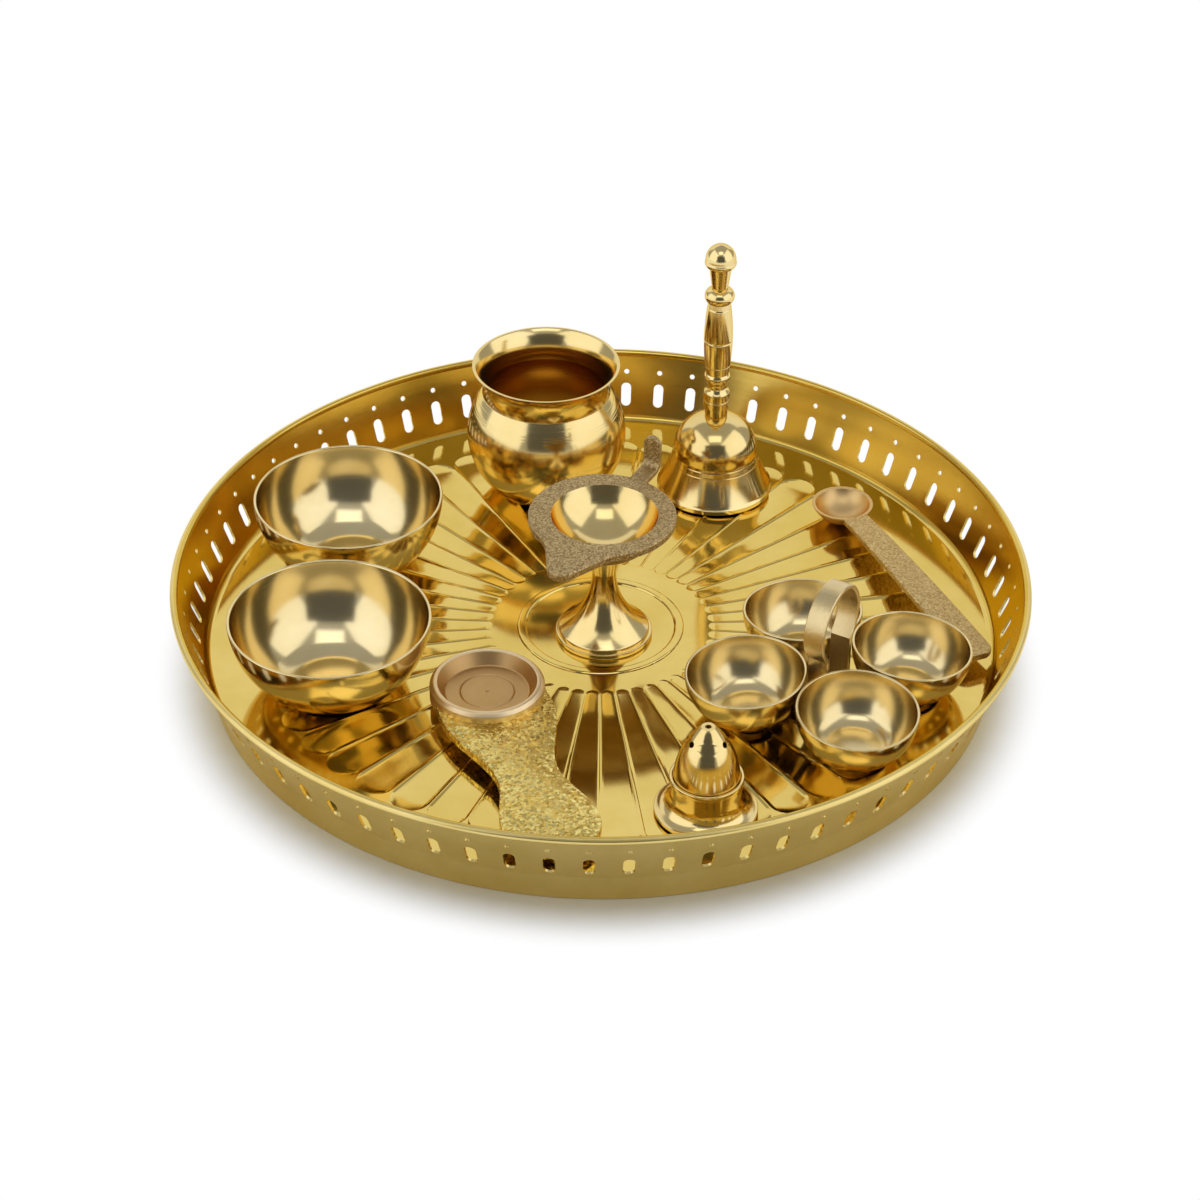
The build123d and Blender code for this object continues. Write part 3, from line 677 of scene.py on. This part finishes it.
# rows of one flute's column: radius and depth, from the tray's middle to the floor's edge
def fluteRows(u, halfTurn):
    grow = math.sin(halfTurn)
    endW = tray["fluteEndR"] * grow / (1 + grow)
    startW = tray["fluteStartR"] * grow / (1 - grow)
    endAt, startAt = tray["fluteEndR"] - endW, tray["fluteStartR"] + startW
    roundBed, flatBed, square = tray["fluteBed"]
    across = max(0.0, 1 - u * u)
    bow = math.sqrt(across)
    shape = roundBed * across + flatBed * max(0.0, 1 - abs(u) ** square)
    ringInner, ringOuter, ringHeight = tray["ring"]
    ringMargin, endMargin = tray["margins"]
    rows = [(0.0, 0.0), (ringInner, 0.0)]
    for t in tray["ringShares"]:
        rise = ringHeight * (1 - abs(2 * t - 1) ** tray["ringSquare"])
        rows.append((ringInner + (ringOuter - ringInner) * t, -rise))
    rows += [(ringOuter, 0.0), (ringOuter + ringMargin, 0.0)]
    depthAt = tray["fluteDepth"] / endW
    startRows, alongRows, endRows = tray["fluteRows"]
    for i in range(startRows + 1):
        a = math.pi / 2 * i / startRows
        rows.append((startAt - startW * bow * math.cos(a), depthAt * startW * shape * math.sin(a) ** 2))
    for i in range(1, alongRows):
        r = startAt + (endAt - startAt) * i / alongRows
        rows.append((r, depthAt * r * grow * shape))
    for i in range(endRows + 1):
        a = math.pi / 2 * i / endRows
        rows.append((endAt + endW * bow * math.sin(a), depthAt * endW * shape * math.cos(a) ** 2))
    return rows + [(tray["fluteEndR"] + endMargin, 0.0), (tray["floorEdgeR"], 0.0)]


def trayFloor():
    bm = bmesh.new()
    pitch = math.pi / tray["flutes"]
    halfTurn = pitch * (1 - tray["landShare"])
    half = tray["fluteShares"] + (pitch / halfTurn,)
    shares = [-u for u in reversed(half[1:])] + list(half)
    table = [fluteRows(u, halfTurn) for u in shares]

    def at(column, row):
        r, depth = table[column][row]
        angle = shares[column] * halfTurn
        return r * math.cos(angle) * mm, r * math.sin(angle) * mm, (tray["floorZ"] - depth) * mm

    gridOf(bm, len(shares) - 1, len(table[0]) - 1, at)
    repeatRound(bm, tray["flutes"])
    return bm


# the rolled bead round the rim
def trayBead():
    bm = bmesh.new()
    around, turns = tray["beadSteps"]
    bmesh.ops.create_circle(bm, segments=around, radius=tray["beadR"] * mm)
    bmesh.ops.rotate(bm, verts=bm.verts, cent=(0, 0, 0), matrix=Matrix.Rotation(math.pi / 2, 3, "X"))
    middle = ((tray["rimR"] - tray["beadR"]) * mm, 0, (tray["height"] - tray["beadR"]) * mm)
    bmesh.ops.translate(bm, verts=bm.verts, vec=middle)
    turn(bm, turns)
    return bm


def makeTray():
    bm = trayFloor()
    addPart(bm, trayWall())
    # close the ring between the flutes and the wall, and the flat underside
    loose = [e for e in bm.edges if e.is_boundary]
    slack = 0.1
    lowZ, joinR = tray["floorZ"] - tray["sheet"] + slack, tray["wallStartR"] + slack
    lowEdges = [e for e in loose if max(v.co.z for v in e.verts) < lowZ * mm]
    ringEdges = [e for e in loose if abs(e.verts[0].co.z - tray["floorZ"] * mm) < 5 * weld]
    ringEdges = [e for e in ringEdges if e.verts[0].co.xy.length < joinR * mm]
    bmesh.ops.triangle_fill(bm, use_beauty=True, use_dissolve=False, edges=ringEdges, normal=(0, 0, 1))
    bmesh.ops.edgeloop_fill(bm, edges=lowEdges)
    # and the sheet's upper edge, which the bead hides
    bmesh.ops.bridge_loops(bm, edges=[e for e in bm.edges if e.is_boundary])
    addPart(bm, trayBead())
    addPart(bm, turnedPiece(tray["foot"]))
    bmesh.ops.recalc_face_normals(bm, faces=bm.faces)
    # the wall's inside takes a copy of the sheet's brass with painted shade, its outside a copy with painted
    # light
    for face in bm.faces:
        spot = face.calc_center_median()
        if spot.xy.length > tray["wallFromR"] * mm:
            face.material_index = 2 if face.normal.xy.dot(spot.xy) > 0 else 1
    finish = [
        mirrorFor("spunTrayBrass", 0, 0, **floorLook),
        mirrorFor("spunWallShadedBrass", 0, 0, **wallPaintedShadeLook),
        mirrorFor("satinOuterLitBrass", 0, 0, **outerSatinPaintedLightLook),
    ]
    makePiece(bm, "thaliTray", "tray", "thali_tray", "polished_brass", *finish, sharp=tray["sharp"])


makeTray()

# Water pot
kalash = {
    "at": (-21.0, 92.5),
    "throatZ": 45.0,  # the inside is darker up to here
    "flatFrom": 0.99,  # faces that look up more than this are its flat bottom
    "arcSteps": 40,
    "outline": [
        (17.0, 0.0, 0.8),
        (30.1, 24.0, 24.1, 42.2, 0.25),
        (24.4, 48.0, 27.9, 54.0, 0.5),
        (26.8, 54.0, 0.5),
        (23.25, 48.2, 22.95, 42.5, 0.25),
        (28.9, 23.6, 16.4, 1.2),
        (0.0, 1.2),
    ],
    "scored": [(40.0, 0.5, 0.08), (37.4, 0.5, 0.08), (36.4, 0.5, 0.05)],  # height, half width, depth
}
# Painted shade inside the pot: the same brass drawn darker and amber, where little light gets in
potInsidePaintedShade = {"deep": "#C49A48", "pale": "#D8B060", "gloss": (0.2, 0.3)}


def makeKalash():
    bm = turnedPiece(kalash)
    # faces inside the pot below the throat take the darker brass, a painted shade
    for face in bm.faces:
        spot = face.calc_center_median()
        inside = face.normal.xy.dot(spot.xy) < 0 or face.normal.z > kalash["flatFrom"]
        face.material_index = 1 if inside and spot.z < kalash["throatZ"] * mm else 0
    place(bm, *kalash["at"])
    finish = [mirrorFor("kalashBrass", *kalash["at"])]
    finish.append(mirrorFor("kalashInnerShadedBrass", *kalash["at"], **potInsidePaintedShade))
    makePiece(bm, "kalashPot", "kalash", "kalash_pot", "polished_brass", *finish)


makeKalash()

# Hand bell
bell = {
    "at": (43.3, 92.6),
    "cup": {
        "start": (19.7, 0.0),
        "arcSteps": 24,
        "outline": [
            (21.3, 0.0, 0.3),
            (21.9, 0.6),
            (21.9, 2.2),
            (21.3, 2.8),
            (18.0, 9.9, 15.8, 17.0),
            (10.5, 28.64, 5.2, 31.2),
            (0.0, 31.2),
            (0.0, 29.6),
            (5.0, 29.6),
            (9.8, 27.1, 14.2, 17.0),
            (16.4, 9.6, 19.6, 2.6),
            (19.7, 0.0),
        ],
        "scored": [(15.6, 0.5, 0.06), (13.4, 0.5, 0.06)],
    },
    "handle": {
        "turns": 96,
        "start": (0.0, 31.2),
        "arcSteps": 16,
        "outline": [
            (4.3, 31.2),
            (4.3, 36.2, 0.3),
            (4.9, 36.2, 0.3),
            (4.9, 42.8, 0.4),
            (3.6, 45.15, 4.3, 47.5),
            (4.9, 49.2, 4.3, 50.9),
            (5.4, 66.05, 4.2, 81.2),
            (5.6, 84.0, 3.0, 86.8),
            (4.2, 95.8),
            (5.62, 96.74, 5.7, 98.62),
            (4.48, 102.69, 0.0, 105.2),
        ],
        "scored": [(65.2, 0.7, 0.15), (54.4, 0.6, 0.12), (79.2, 0.6, 0.12), (39.4, 0.6, 0.15)],
    },
}

makeTurned(bell["cup"], bell["at"], "bellCup", "bell", "bell_cup", "bellBrass")
makeTurned(bell["handle"], bell["at"], "bellHandle", "bell", "bell_handle", "bellGripBrass")

# Oil lamp: a turned stand, and a cast dish whose bowl is polished
diya = {
    "at": (1.2, -4.2),
    "spoutAngle": 246.0,
    "stand": {
        "start": (0.0, 5.0),
        "arcSteps": 40,
        "outline": [
            (12.0, 0.0),
            (17.3, 0.0, 0.4),
            (17.3, 2.0, 0.4),
            (16.2, 2.0),
            (16.2, 3.2, 0.3),
            (6.6, 15.1, 4.2, 27.0),
            (5.4, 34.0),
            (2.2, 34.0),
            (2.2, 36.6),
            (0.0, 36.6),
        ],
    },
    "topZ": 50.8,
    "plate": 3.0,
    "ringR": 26.0,
    "ringShift": 0.9,
    "bowlR": 18.8,
    "bowlBall": 19.988,
    "wall": 3.6,
    "spoutReach": 41.0,
    "spoutTipR": 5.0,
    "spoutRootR": 21.5,
    "spoutFillet": 14.0,
    "edge": 0.5,
    "lip": 0.25,
    "sideSteps": (12, 14, 12, 72),  # round the spout's tip, along it, in its fillet, round the ring
    "bowlSteps": (24, 20),  # inside and outside
    "tail": {
        "halfWidth": 3.2,
        "reach": 10.0,
        "rise": 11.2,
        "plate": 2.4,
        "edge": 0.4,
        "round": 2.9,
        "bend": 2.4,
        "turn": -3.3,
        "steps": 8,
        # it sinks this far into the ring, over this length, and ends this far from the bowl
        "sink": 0.05,
        "sinkRun": 1.0,
        "endGap": 2.0,
    },
}
# Sand-cast brass left dull: grey-tan and sandy
lampCast = {
    "grain": 0.5,
    "patch": 7.0,
    "patchShare": 0.2,
    "grainLean": 0.5,
    "deep": "#94794E",
    "pale": "#D2B884",
    "gloss": (0.34, 0.6),
}


# one side of the lamp's plate in plan, drawn in by a margin, from the spout's tip along +X to the back;
# the ring's middle lies aside of the spout's line
def lampSide(margin, aside):
    ringR, tipR = diya["ringR"] - margin, diya["spoutTipR"] - margin
    rootR, filletR = diya["spoutRootR"] - margin, diya["spoutFillet"] + margin
    tipX = diya["spoutReach"] - diya["spoutTipR"]
    slope = (rootR - tipR) / tipX
    lean = math.acos(slope)
    out, along = Vector((slope, math.sin(lean))), Vector((math.sin(lean), -slope))
    middle = Vector((0.0, aside))
    run = along.dot(middle) + math.sqrt((ringR + filletR) ** 2 - (rootR + filletR - out.dot(middle)) ** 2)
    centre = out * (rootR + filletR) + along * run
    bearing = math.degrees(math.atan2(centre.y - aside, centre.x))
    tipSteps, alongSteps, filletSteps, ringSteps = diya["sideSteps"]
    side = arcPoints((tipX, 0.0), tipR, 0.0, math.degrees(lean), tipSteps)
    last, first = Vector(side[-1]), out * rootR + along * run
    side += [tuple(last.lerp(first, i / alongSteps)) for i in range(1, alongSteps)]
    side += arcPoints(centre, filletR, math.degrees(lean) + 180.0, bearing + 180.0, filletSteps)
    return side + arcPoints(middle, ringR, bearing, 180.0, ringSteps)[1:]


# the whole plan, once round
def lampPlan(margin):
    left, right = lampSide(margin, -diya["ringShift"]), lampSide(margin, diya["ringShift"])
    return left + [(x, -y) for x, y in reversed(right[:-1])]


# the cast plate with its bowl, skinned over rows that run from the bowl's bottom out over the rim and back
def lampDish():
    top, ball, edge = diya["topZ"], diya["bowlBall"], diya["edge"]
    outside, inset = lampPlan(0.0), lampPlan(edge)
    bearings = [math.atan2(py, px) for px, py in outside]
    lowZ = top - diya["plate"]
    ballZ = top + math.sqrt(ball**2 - diya["bowlR"] ** 2)
    outer = ball + diya["wall"]
    inSteps, outSteps = diya["bowlSteps"]

    def level(radius, z):
        return [(radius * math.cos(b), radius * math.sin(b), z) for b in bearings]

    def rise(points, z):
        return [(px, py, z) for px, py in points]

    wellEnd = math.asin(diya["bowlR"] / ball)
    rows = []
    for i in range(inSteps + 1):
        a = wellEnd * i / inSteps
        rows.append(level(ball * math.sin(a), ballZ - ball * math.cos(a)))
    rows += [level(diya["bowlR"] + diya["lip"], top), rise(inset, top), rise(outside, top - edge)]
    rows += [rise(outside, lowZ + edge), rise(inset, lowZ)]
    lowEnd = math.acos((ballZ - lowZ) / outer)
    for i in range(outSteps + 1):
        a = lowEnd * (1 - i / outSteps)
        rows.append(level(outer * math.sin(a), ballZ - outer * math.cos(a)))
    dish = bmesh.new()
    skin(dish, rows)
    middle = Vector((0, 0, ballZ * mm))
    for face in dish.faces:
        spot = face.calc_center_median()
        inWell = (spot - middle).length < (ball + diya["wall"] / 2) * mm
        face.material_index = 1 if inWell and spot.xy.length < diya["bowlR"] * mm else 0
    return dish


# the tail: from its rounded end down, round the bend and on over the ring
def lampTail():
    top, tail = diya["topZ"], diya["tail"]
    backX, sunkZ, steps = -diya["ringR"] - tail["reach"], top - tail["sink"], tail["steps"]
    path, widths = [], []
    for i in range(steps + 1):
        a = math.pi / 2 * i / steps
        path.append((backX, top + tail["rise"] - tail["round"] * (1 - math.cos(a))))
        widths.append(tail["halfWidth"] - tail["round"] * (1 - math.sin(a)))
    path += arcPoints((backX + tail["bend"], top + tail["bend"]), tail["bend"], 180.0, 270.0, steps)
    path += [(-diya["ringR"], top), (tail["sinkRun"] - diya["ringR"], sunkZ)]
    path.append((-diya["bowlR"] - tail["endGap"], sunkZ))
    widths += [tail["halfWidth"]] * (len(path) - len(widths))
    strip = bmesh.new()
    bentBar(strip, path, widths, tail["plate"], tail["edge"])
    bmesh.ops.rotate(strip, verts=strip.verts, matrix=Matrix.Rotation(math.radians(tail["turn"]), 3, "Z"))
    return strip


def makeDiya():
    makeTurned(diya["stand"], diya["at"], "diyaStand", "diya", "diya_stand", "lampStandBrass")
    dish = lampDish()
    addPart(dish, lampTail())
    place(dish, *diya["at"], standZ, diya["spoutAngle"])
    finish = [castBrass("lampCastBrass", lampCast), mirrorFor("lampBowlBrass", *diya["at"])]
    makePiece(dish, "diyaDish", "diya", "diya_dish", "cast_brass", *finish)


makeDiya()

# Two bowls, alike but for their rims
katoris = {
    "front": {"at": (-93.8, -36.6), "rimR": 35.5},
    "back": {"at": (-92.6, 40.0), "rimR": 34.6},
}
katoriShape = {"height": 29.0, "baseR": 17.0, "wall": 1.1, "lip": 0.5, "bottomR": 14.0}
katoriSteps = {"arcSteps": 48, "turns": 192}
# Paler brass of the bowls and cups, buffed until it looks a little silvery
bowlLook = {"deep": "#E4CF98", "pale": "#F0DEB0", "edge": "#F1DFAC"}

for side, katori in katoris.items():
    piece = {"outline": roundBowl(katori["rimR"], **katoriShape), **katoriSteps}
    names = side + "Katori", side + "_katori", "katori_" + side, side + "KatoriBrass"
    makeTurned(piece, katori["at"], *names, **bowlLook)

# Camphor burner: a dish left as the lathe cut it, and a sand-cast handle
burner = {
    "at": (-39.1, -47.9),
    "handleAngle": -72.1,
    "dish": {
        "outline": [
            (17.0, 0.0),
            (20.0, 4.0, 0.3),
            (20.0, 9.2, 0.3),
            (18.8, 10.6, 0.3),
            (17.4, 10.6, 0.3),
            (14.6, 6.0, 0.4),
            (9.9, 6.0),
            (9.5, 5.75),
            (9.1, 6.0),
            (0.7, 6.0),
            (0.0, 5.4),
        ],
    },
    "innerR": 16.4,
    "rimFromR": 17.3,
    "lowZ": 4.0,
    "thickness": 3.0,
    "bevel": 0.7,
    "bevelSteps": 2,
    "sideSteps": 20,
    "rootSteps": 40,
    # Bezier pieces of one side, from the dish to the handle's end
    "side": [
        ((0.0, 19.5), (6.196, 19.5), (11.548, 20.263), (17.0, 19.5)),
        ((17.0, 19.5), (28.101, 17.946), (39.618, 10.062), (50.5, 10.8)),
        ((50.5, 10.8), (57.477, 11.273), (64.193, 15.291), (72.0, 16.3)),
        ((72.0, 16.3), (80.806, 17.439), (91.0, 14.749), (91.0, 0.0)),
    ],
}
# Brass as the lathe left it: brown, with fine rings and a soft sheen, and paler on the rim
latheCut = {
    "markSpacing": 0.35,
    "deep": "#C29C66",
    "pale": "#D4B07C",
    "gloss": (0.34, 0.48),
    "markBump": 0.25,
    "buffBump": 0.02,
}
rimCut = {"deep": "#ECD0A0", "pale": "#F8E4BE"}
# Sand-cast brass, brushed bright: a coarse golden glitter
handleCast = {
    "grain": 0.9,
    "patch": 8.0,
    "patchShare": 0.2,
    "grainLean": 0.48,
    "deep": "#DDB852",
    "pale": "#FCEA96",
    "gloss": (0.2, 0.42),
}


# the handle: a plan of two mirrored sides that ends inside the dish, raised, with its upper edge broken
def burnerHandle():
    plan = []
    for a, b, c, d in burner["side"]:
        curve = interpolate_bezier(Vector(a), Vector(b), Vector(c), Vector(d), burner["sideSteps"])
        plan += [tuple(spot) for spot in curve[:-1]]
    plan = plan + [burner["side"][-1][3]] + [(px, -py) for px, py in reversed(plan)]
    plan += arcPoints((0.0, 0.0), burner["innerR"], -90.0, 90.0, burner["rootSteps"])
    handle = bmesh.new()
    ring = bmesh.ops.create_circle(handle, segments=len(plan), radius=1.0)["verts"]
    for vert, (px, py) in zip(ring, plan):
        vert.co = (px * mm, py * mm, burner["lowZ"] * mm)
    bottom = bmesh.ops.edgeloop_fill(handle, edges=handle.edges[:])["faces"]
    raised = bmesh.ops.extrude_face_region(handle, geom=bottom, use_keep_orig=True)["geom"]
    upper = [v for v in raised if isinstance(v, bmesh.types.BMVert)]
    bmesh.ops.translate(handle, vec=(0, 0, burner["thickness"] * mm), verts=upper)
    bmesh.ops.bevel(
        handle,
        geom=[e for e in raised if isinstance(e, bmesh.types.BMEdge)],
        offset=burner["bevel"] * mm,
        offset_type="OFFSET",
        segments=burner["bevelSteps"],
        profile=0.5,
        affect="EDGES",
        material=-1,
    )
    bmesh.ops.recalc_face_normals(handle, faces=handle.faces)
    for face in handle.faces:
        face.material_index = 1
    return handle


def makeBurner():
    x, y = burner["at"]
    dish = turnedPiece(burner["dish"])
    for face in dish.faces:
        face.material_index = 2 if face.calc_center_median().xy.length > burner["rimFromR"] * mm else 0
    addPart(dish, burnerHandle())
    place(dish, x, y, standZ, burner["handleAngle"])
    finish = [mirrorFor("latheCutBrass", x, y, **latheCut), castBrass("burnerCastBrass", handleCast)]
    finish.append(mirrorFor("burnerRimBrass", x, y, **{**latheCut, **rimCut}))
    makePiece(dish, "camphorBurner", "burner", "camphor_burner", "cast_brass", *finish)


makeBurner()

# Incense holder: a flared cup, and a cone with three vents and one at its tip
incense = {
    "at": (35.4, -104.2),
    "cup": {
        "turns": 128,
        "outline": [
            (17.4, 0.0, 0.2),
            (17.4, 1.2, 0.3),
            (13.1, 3.25, 11.9, 6.5, 0.2),
            (11.9, 12.4),
            (12.5, 12.4, 0.4),
            (12.5, 14.4, 0.5),
            (11.4, 14.4, 0.4),
            (11.4, 12.2),
            (9.9, 12.2),
            (9.9, 2.0),
            (0.0, 2.0),
        ],
    },
    "cone": {
        "baseZ": 12.3,
        "r": 11.2,
        "wall": 1.0,
        "skirt": 2.4,
        "height": 22.0,
        "bulgeShare": 0.78,
        "tipR": 2.4,
        "holeR": 1.1,
        "holes": 3,
        "turn": 90.0,
        "holeShare": 0.77,
        "holeMargin": 2.0,
        "columns": 36,
        "rows": (20, 8, 8),  # below the vents, beside them, above them
        "search": (0.05, 1000),  # step in mm and count of the lengths tried
        "near": 0.001,  # the tip counts as reached this far below it
        # heights round the foot and round the tip within which the wall's edges are closed
        "footBand": (-1.0, 1.0),
        "tipBand": (-2.0, 1.0),
    },
}


# point of the cone's outside, and the way into its wall, for a length from the foot up
def coneOutside(s):
    cone = incense["cone"]
    middle = (cone["r"] * cone["bulgeShare"], (cone["skirt"] + cone["height"]) / 2)
    foot = Vector((cone["r"] * mm, 0, cone["skirt"] * mm))
    centre, angle = arcThrough(foot, middle, (cone["tipR"], cone["height"]))
    cx, cz = centre[0] / mm, centre[2] / mm
    radius = math.hypot(cone["r"] - cx, cone["skirt"] - cz)
    arcLength = radius * abs(angle)
    if s <= cone["skirt"]:
        return cone["r"], s, -1.0, 0.0
    if s <= cone["skirt"] + arcLength:
        first = math.atan2(cone["skirt"] - cz, cone["r"] - cx)
        a = first + (s - cone["skirt"]) / radius
        return cx + radius * math.cos(a), cz + radius * math.sin(a), -math.cos(a), -math.sin(a)
    return cone["tipR"] - (s - cone["skirt"] - arcLength), cone["height"], 0.0, -1.0


# the cone: one vent's share of it is drawn flat, thickened, rolled up and repeated
def incenseCone():
    cone = incense["cone"]
    step, tries = cone["search"]
    lengths = [i * step for i in range(tries)]
    holeAt = next(s for s in lengths if coneOutside(s)[1] >= cone["height"] * cone["holeShare"])
    tipAt = next(s for s in lengths if coneOutside(s)[1] >= cone["height"] - cone["near"])
    end = tipAt + cone["tipR"] - cone["holeR"]
    holeR = coneOutside(holeAt)[0]
    halfWidth = holeR * math.pi / cone["holes"]
    columns, skirt = cone["columns"], cone["skirt"]
    lowRows, holeRows, highRows = cone["rows"]
    low, high = holeAt - cone["holeMargin"], holeAt + cone["holeMargin"]
    bm = bmesh.new()
    plainStrip(bm, halfWidth, [0.0, skirt], columns)
    plainStrip(bm, halfWidth, [skirt + (low - skirt) * i / lowRows for i in range(lowRows + 1)], columns)
    piercedBlock(bm, halfWidth, low, high, columns, holeRows, holeAt, 0.0, cone["holeR"])
    upper = [high + (tipAt - high) * i / highRows for i in range(highRows + 1)]
    plainStrip(bm, halfWidth, upper + [end], columns)
    thickenCell(bm, halfWidth, 0.0, end, cone["wall"])
    rollCells(bm, coneOutside, holeR, cone["holes"])
    # close the wall's edge at the foot and in the vent at the tip
    for level, (below, above) in ((0.0, cone["footBand"]), (cone["height"], cone["tipBand"])):
        low, high = (level + below) * mm, (level + above) * mm
        loop = [e for e in bm.edges if e.is_boundary and low < e.verts[0].co.z < high]
        bmesh.ops.bridge_loops(bm, edges=loop)
    bmesh.ops.recalc_face_normals(bm, faces=bm.faces)
    return bm


def makeIncense():
    x, y = incense["at"]
    names = "incenseCup", "incense_holder", "incense_base", "incenseCupBrass"
    makeTurned(incense["cup"], incense["at"], *names)
    bm, cone = incenseCone(), incense["cone"]
    place(bm, x, y, standZ + cone["baseZ"], cone["turn"])
    coneBrass = mirrorFor("incenseConeBrass", x, y)
    makePiece(bm, "incenseCone", "incense_lid", "incense_cone", "polished_brass", coneBrass)


makeIncense()

# Four little cups that lean outwards round a strap handle
cupSet = {
    "at": (79.1, -45.4),
    "angle": -30.0,
    "cup": {
        "outline": roundBowl(rimR=21.1, height=17.5, baseR=12.0, wall=1.0, lip=0.45, bottomR=8.0),
        "arcSteps": 40,
        "turns": 144,
    },
    "baseReach": 29.043,
    "baseZ": 1.828,
    "splay": 4.0,
    "bearings": {"right": 45.0, "back": 135.0, "left": 225.0, "front": 315.0},
    "look": {**bowlLook, "gloss": (0.16, 0.24)},
    "strap": {
        "footZ": 2.95,
        "foot": 4.0,
        "legS": 9.2,
        "bendR": 2.4,
        "loopR": 14.2,
        "topZ": 49.0,
        "turn": 90.0,
        "halfWidth": 3.8,
        "plate": 1.6,
        "edge": 0.3,
        "steps": (8, 40),  # in a foot's bend, in half the loop
    },
}
# Brass strip brushed to a satin: pale, with a soft sheen
strapSatin = {
    "grain": 0.35,
    "patch": 8.0,
    "patchShare": 0.8,
    "grainLean": 0.12,
    "deep": "#D8C08C",
    "pale": "#EEDAAA",
    "gloss": (0.28, 0.4),
}


# the strap: one foot, its bend and half the loop, and the same mirrored
def cupStrap():
    strap = cupSet["strap"]
    loopZ, bendR = strap["topZ"] - strap["loopR"], strap["bendR"]
    bendSteps, loopSteps = strap["steps"]
    knee = math.degrees(math.acos(strap["legS"] / strap["loopR"]))
    half = [(strap["foot"] - strap["legS"], strap["footZ"])]
    half += arcPoints((bendR - strap["legS"], strap["footZ"] + bendR), bendR, 270.0, 180.0, bendSteps)
    half += arcPoints((0.0, loopZ), strap["loopR"], 180.0 + knee, 90.0, loopSteps)
    path = half + [(-px, pz) for px, pz in reversed(half[:-1])]
    bm = bmesh.new()
    bentBar(bm, path, [strap["halfWidth"]] * len(path), strap["plate"], strap["edge"])
    return bm


def makeCupSet():
    x, y = cupSet["at"]
    reach = cupSet["baseReach"]
    for side, bearing in cupSet["bearings"].items():
        bm = turnedPiece(cupSet["cup"])
        lean = Matrix.Rotation(math.radians(cupSet["splay"]), 4, "Y")
        seat = Matrix.Translation((reach * mm, 0, cupSet["baseZ"] * mm)) @ lean
        bmesh.ops.transform(bm, matrix=seat, verts=bm.verts)
        place(bm, x, y, standZ, cupSet["angle"] + bearing)
        way = math.radians(cupSet["angle"] + bearing)
        middle = x + reach * math.cos(way), y + reach * math.sin(way)
        finish = mirrorFor(side + "CupBrass", *middle, **cupSet["look"])
        makePiece(bm, side + "Cup", "cup_set", "cup_" + side, "polished_brass", finish)
    bm = cupStrap()
    place(bm, x, y, standZ, cupSet["angle"] + cupSet["strap"]["turn"])
    finish = castBrass("strapSatinBrass", strapSatin)
    makePiece(bm, "strapHandle", "cup_set", "strap_handle", "satin_brass", finish)


makeCupSet()

# Spoon: a spun bowl on a sandy cast handle
spoon = {
    "at": (91.2, 69.6),
    "angle": -66.0,
    "bowl": {
        "turns": 112,
        "outline": [
            (6.934, 2.069, 11.6, 7.6, 0.35),
            (10.278, 7.6, 0.35),
            (6.052, 2.93, 0.0, 1.2),
        ],
    },
    # the handle's upper side, as x, z and half width: root, crest and tip
    "root": (10.4, 7.6, 4.9),
    "crest": (45.0, 8.4),
    "tip": (104.4, 6.6, 6.5),
    "plate": 2.4,
    "edge": 0.35,
    "tipRound": 4.0,
    "steps": (40, 10),  # along the handle, round its tip
}
# Cast brass with a fine sandy grain
spoonCast = {
    "grain": 0.45,
    "patch": 7.0,
    "patchShare": 0.25,
    "grainLean": 0.4,
    "deep": "#B69458",
    "pale": "#E6CC90",
    "gloss": (0.32, 0.55),
}
# Satin brass of the bowl: paler and rough, so that it shades softly
spoonBowl = {"deep": "#DCB87C", "pale": "#EBCB92", "gloss": (0.34, 0.46)}


# the handle: a bar that widens to its rounded tip
def spoonHandle():
    rootX, rootZ, rootW = spoon["root"]
    crestX, crestZ = spoon["crest"]
    tipX, tipZ, tipW = spoon["tip"]
    tipRound = spoon["tipRound"]
    straight = tipX - tipRound
    alongSteps, tipSteps = spoon["steps"]
    xs = [rootX + (straight - rootX) * i / alongSteps for i in range(alongSteps + 1)]
    xs += [straight + tipRound * math.sin(math.pi / 2 * i / tipSteps) for i in range(1, tipSteps + 1)]
    # the upper side falls from root to tip and bows up over the crest
    fall = (tipZ - rootZ) / (tipX - rootX)
    bow = (crestZ - rootZ - fall * (crestX - rootX)) / ((crestX - rootX) * (tipX - crestX))
    path, widths = [], []
    for px in xs:
        path.append((px, rootZ + fall * (px - rootX) + bow * (px - rootX) * (tipX - px)))
        over = max(0.0, px - straight)
        inset = tipRound - math.sqrt(max(0.0, tipRound**2 - over**2))
        widths.append(rootW + (tipW - rootW) * (px - rootX) / (tipX - rootX) - inset)
    handle = bmesh.new()
    bentBar(handle, path, widths, spoon["plate"], spoon["edge"])
    for face in handle.faces:
        face.material_index = 1
    return handle


def makeSpoon():
    x, y = spoon["at"]
    bm = turnedPiece(spoon["bowl"])
    addPart(bm, spoonHandle())
    place(bm, x, y, standZ, spoon["angle"])
    finish = [mirrorFor("spoonBowlBrass", x, y, **spoonBowl), castBrass("spoonCastBrass", spoonCast)]
    makePiece(bm, "brassSpoon", "achamani_spoon", "spoon", "cast_brass", *finish)


makeSpoon()

# The carrier, the eye bolt, the link and the clapper keep their CAD shape and get a satin finish
hiddenSatin = castBrass("carrierSatinBrass", strapSatin)
for name in ("cup_carrier", "bell_eye", "clapper_link", "clapper"):
    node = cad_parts[name]
    node.data.materials.clear()
    node.data.materials.append(hiddenSatin)
print("all pieces ready")
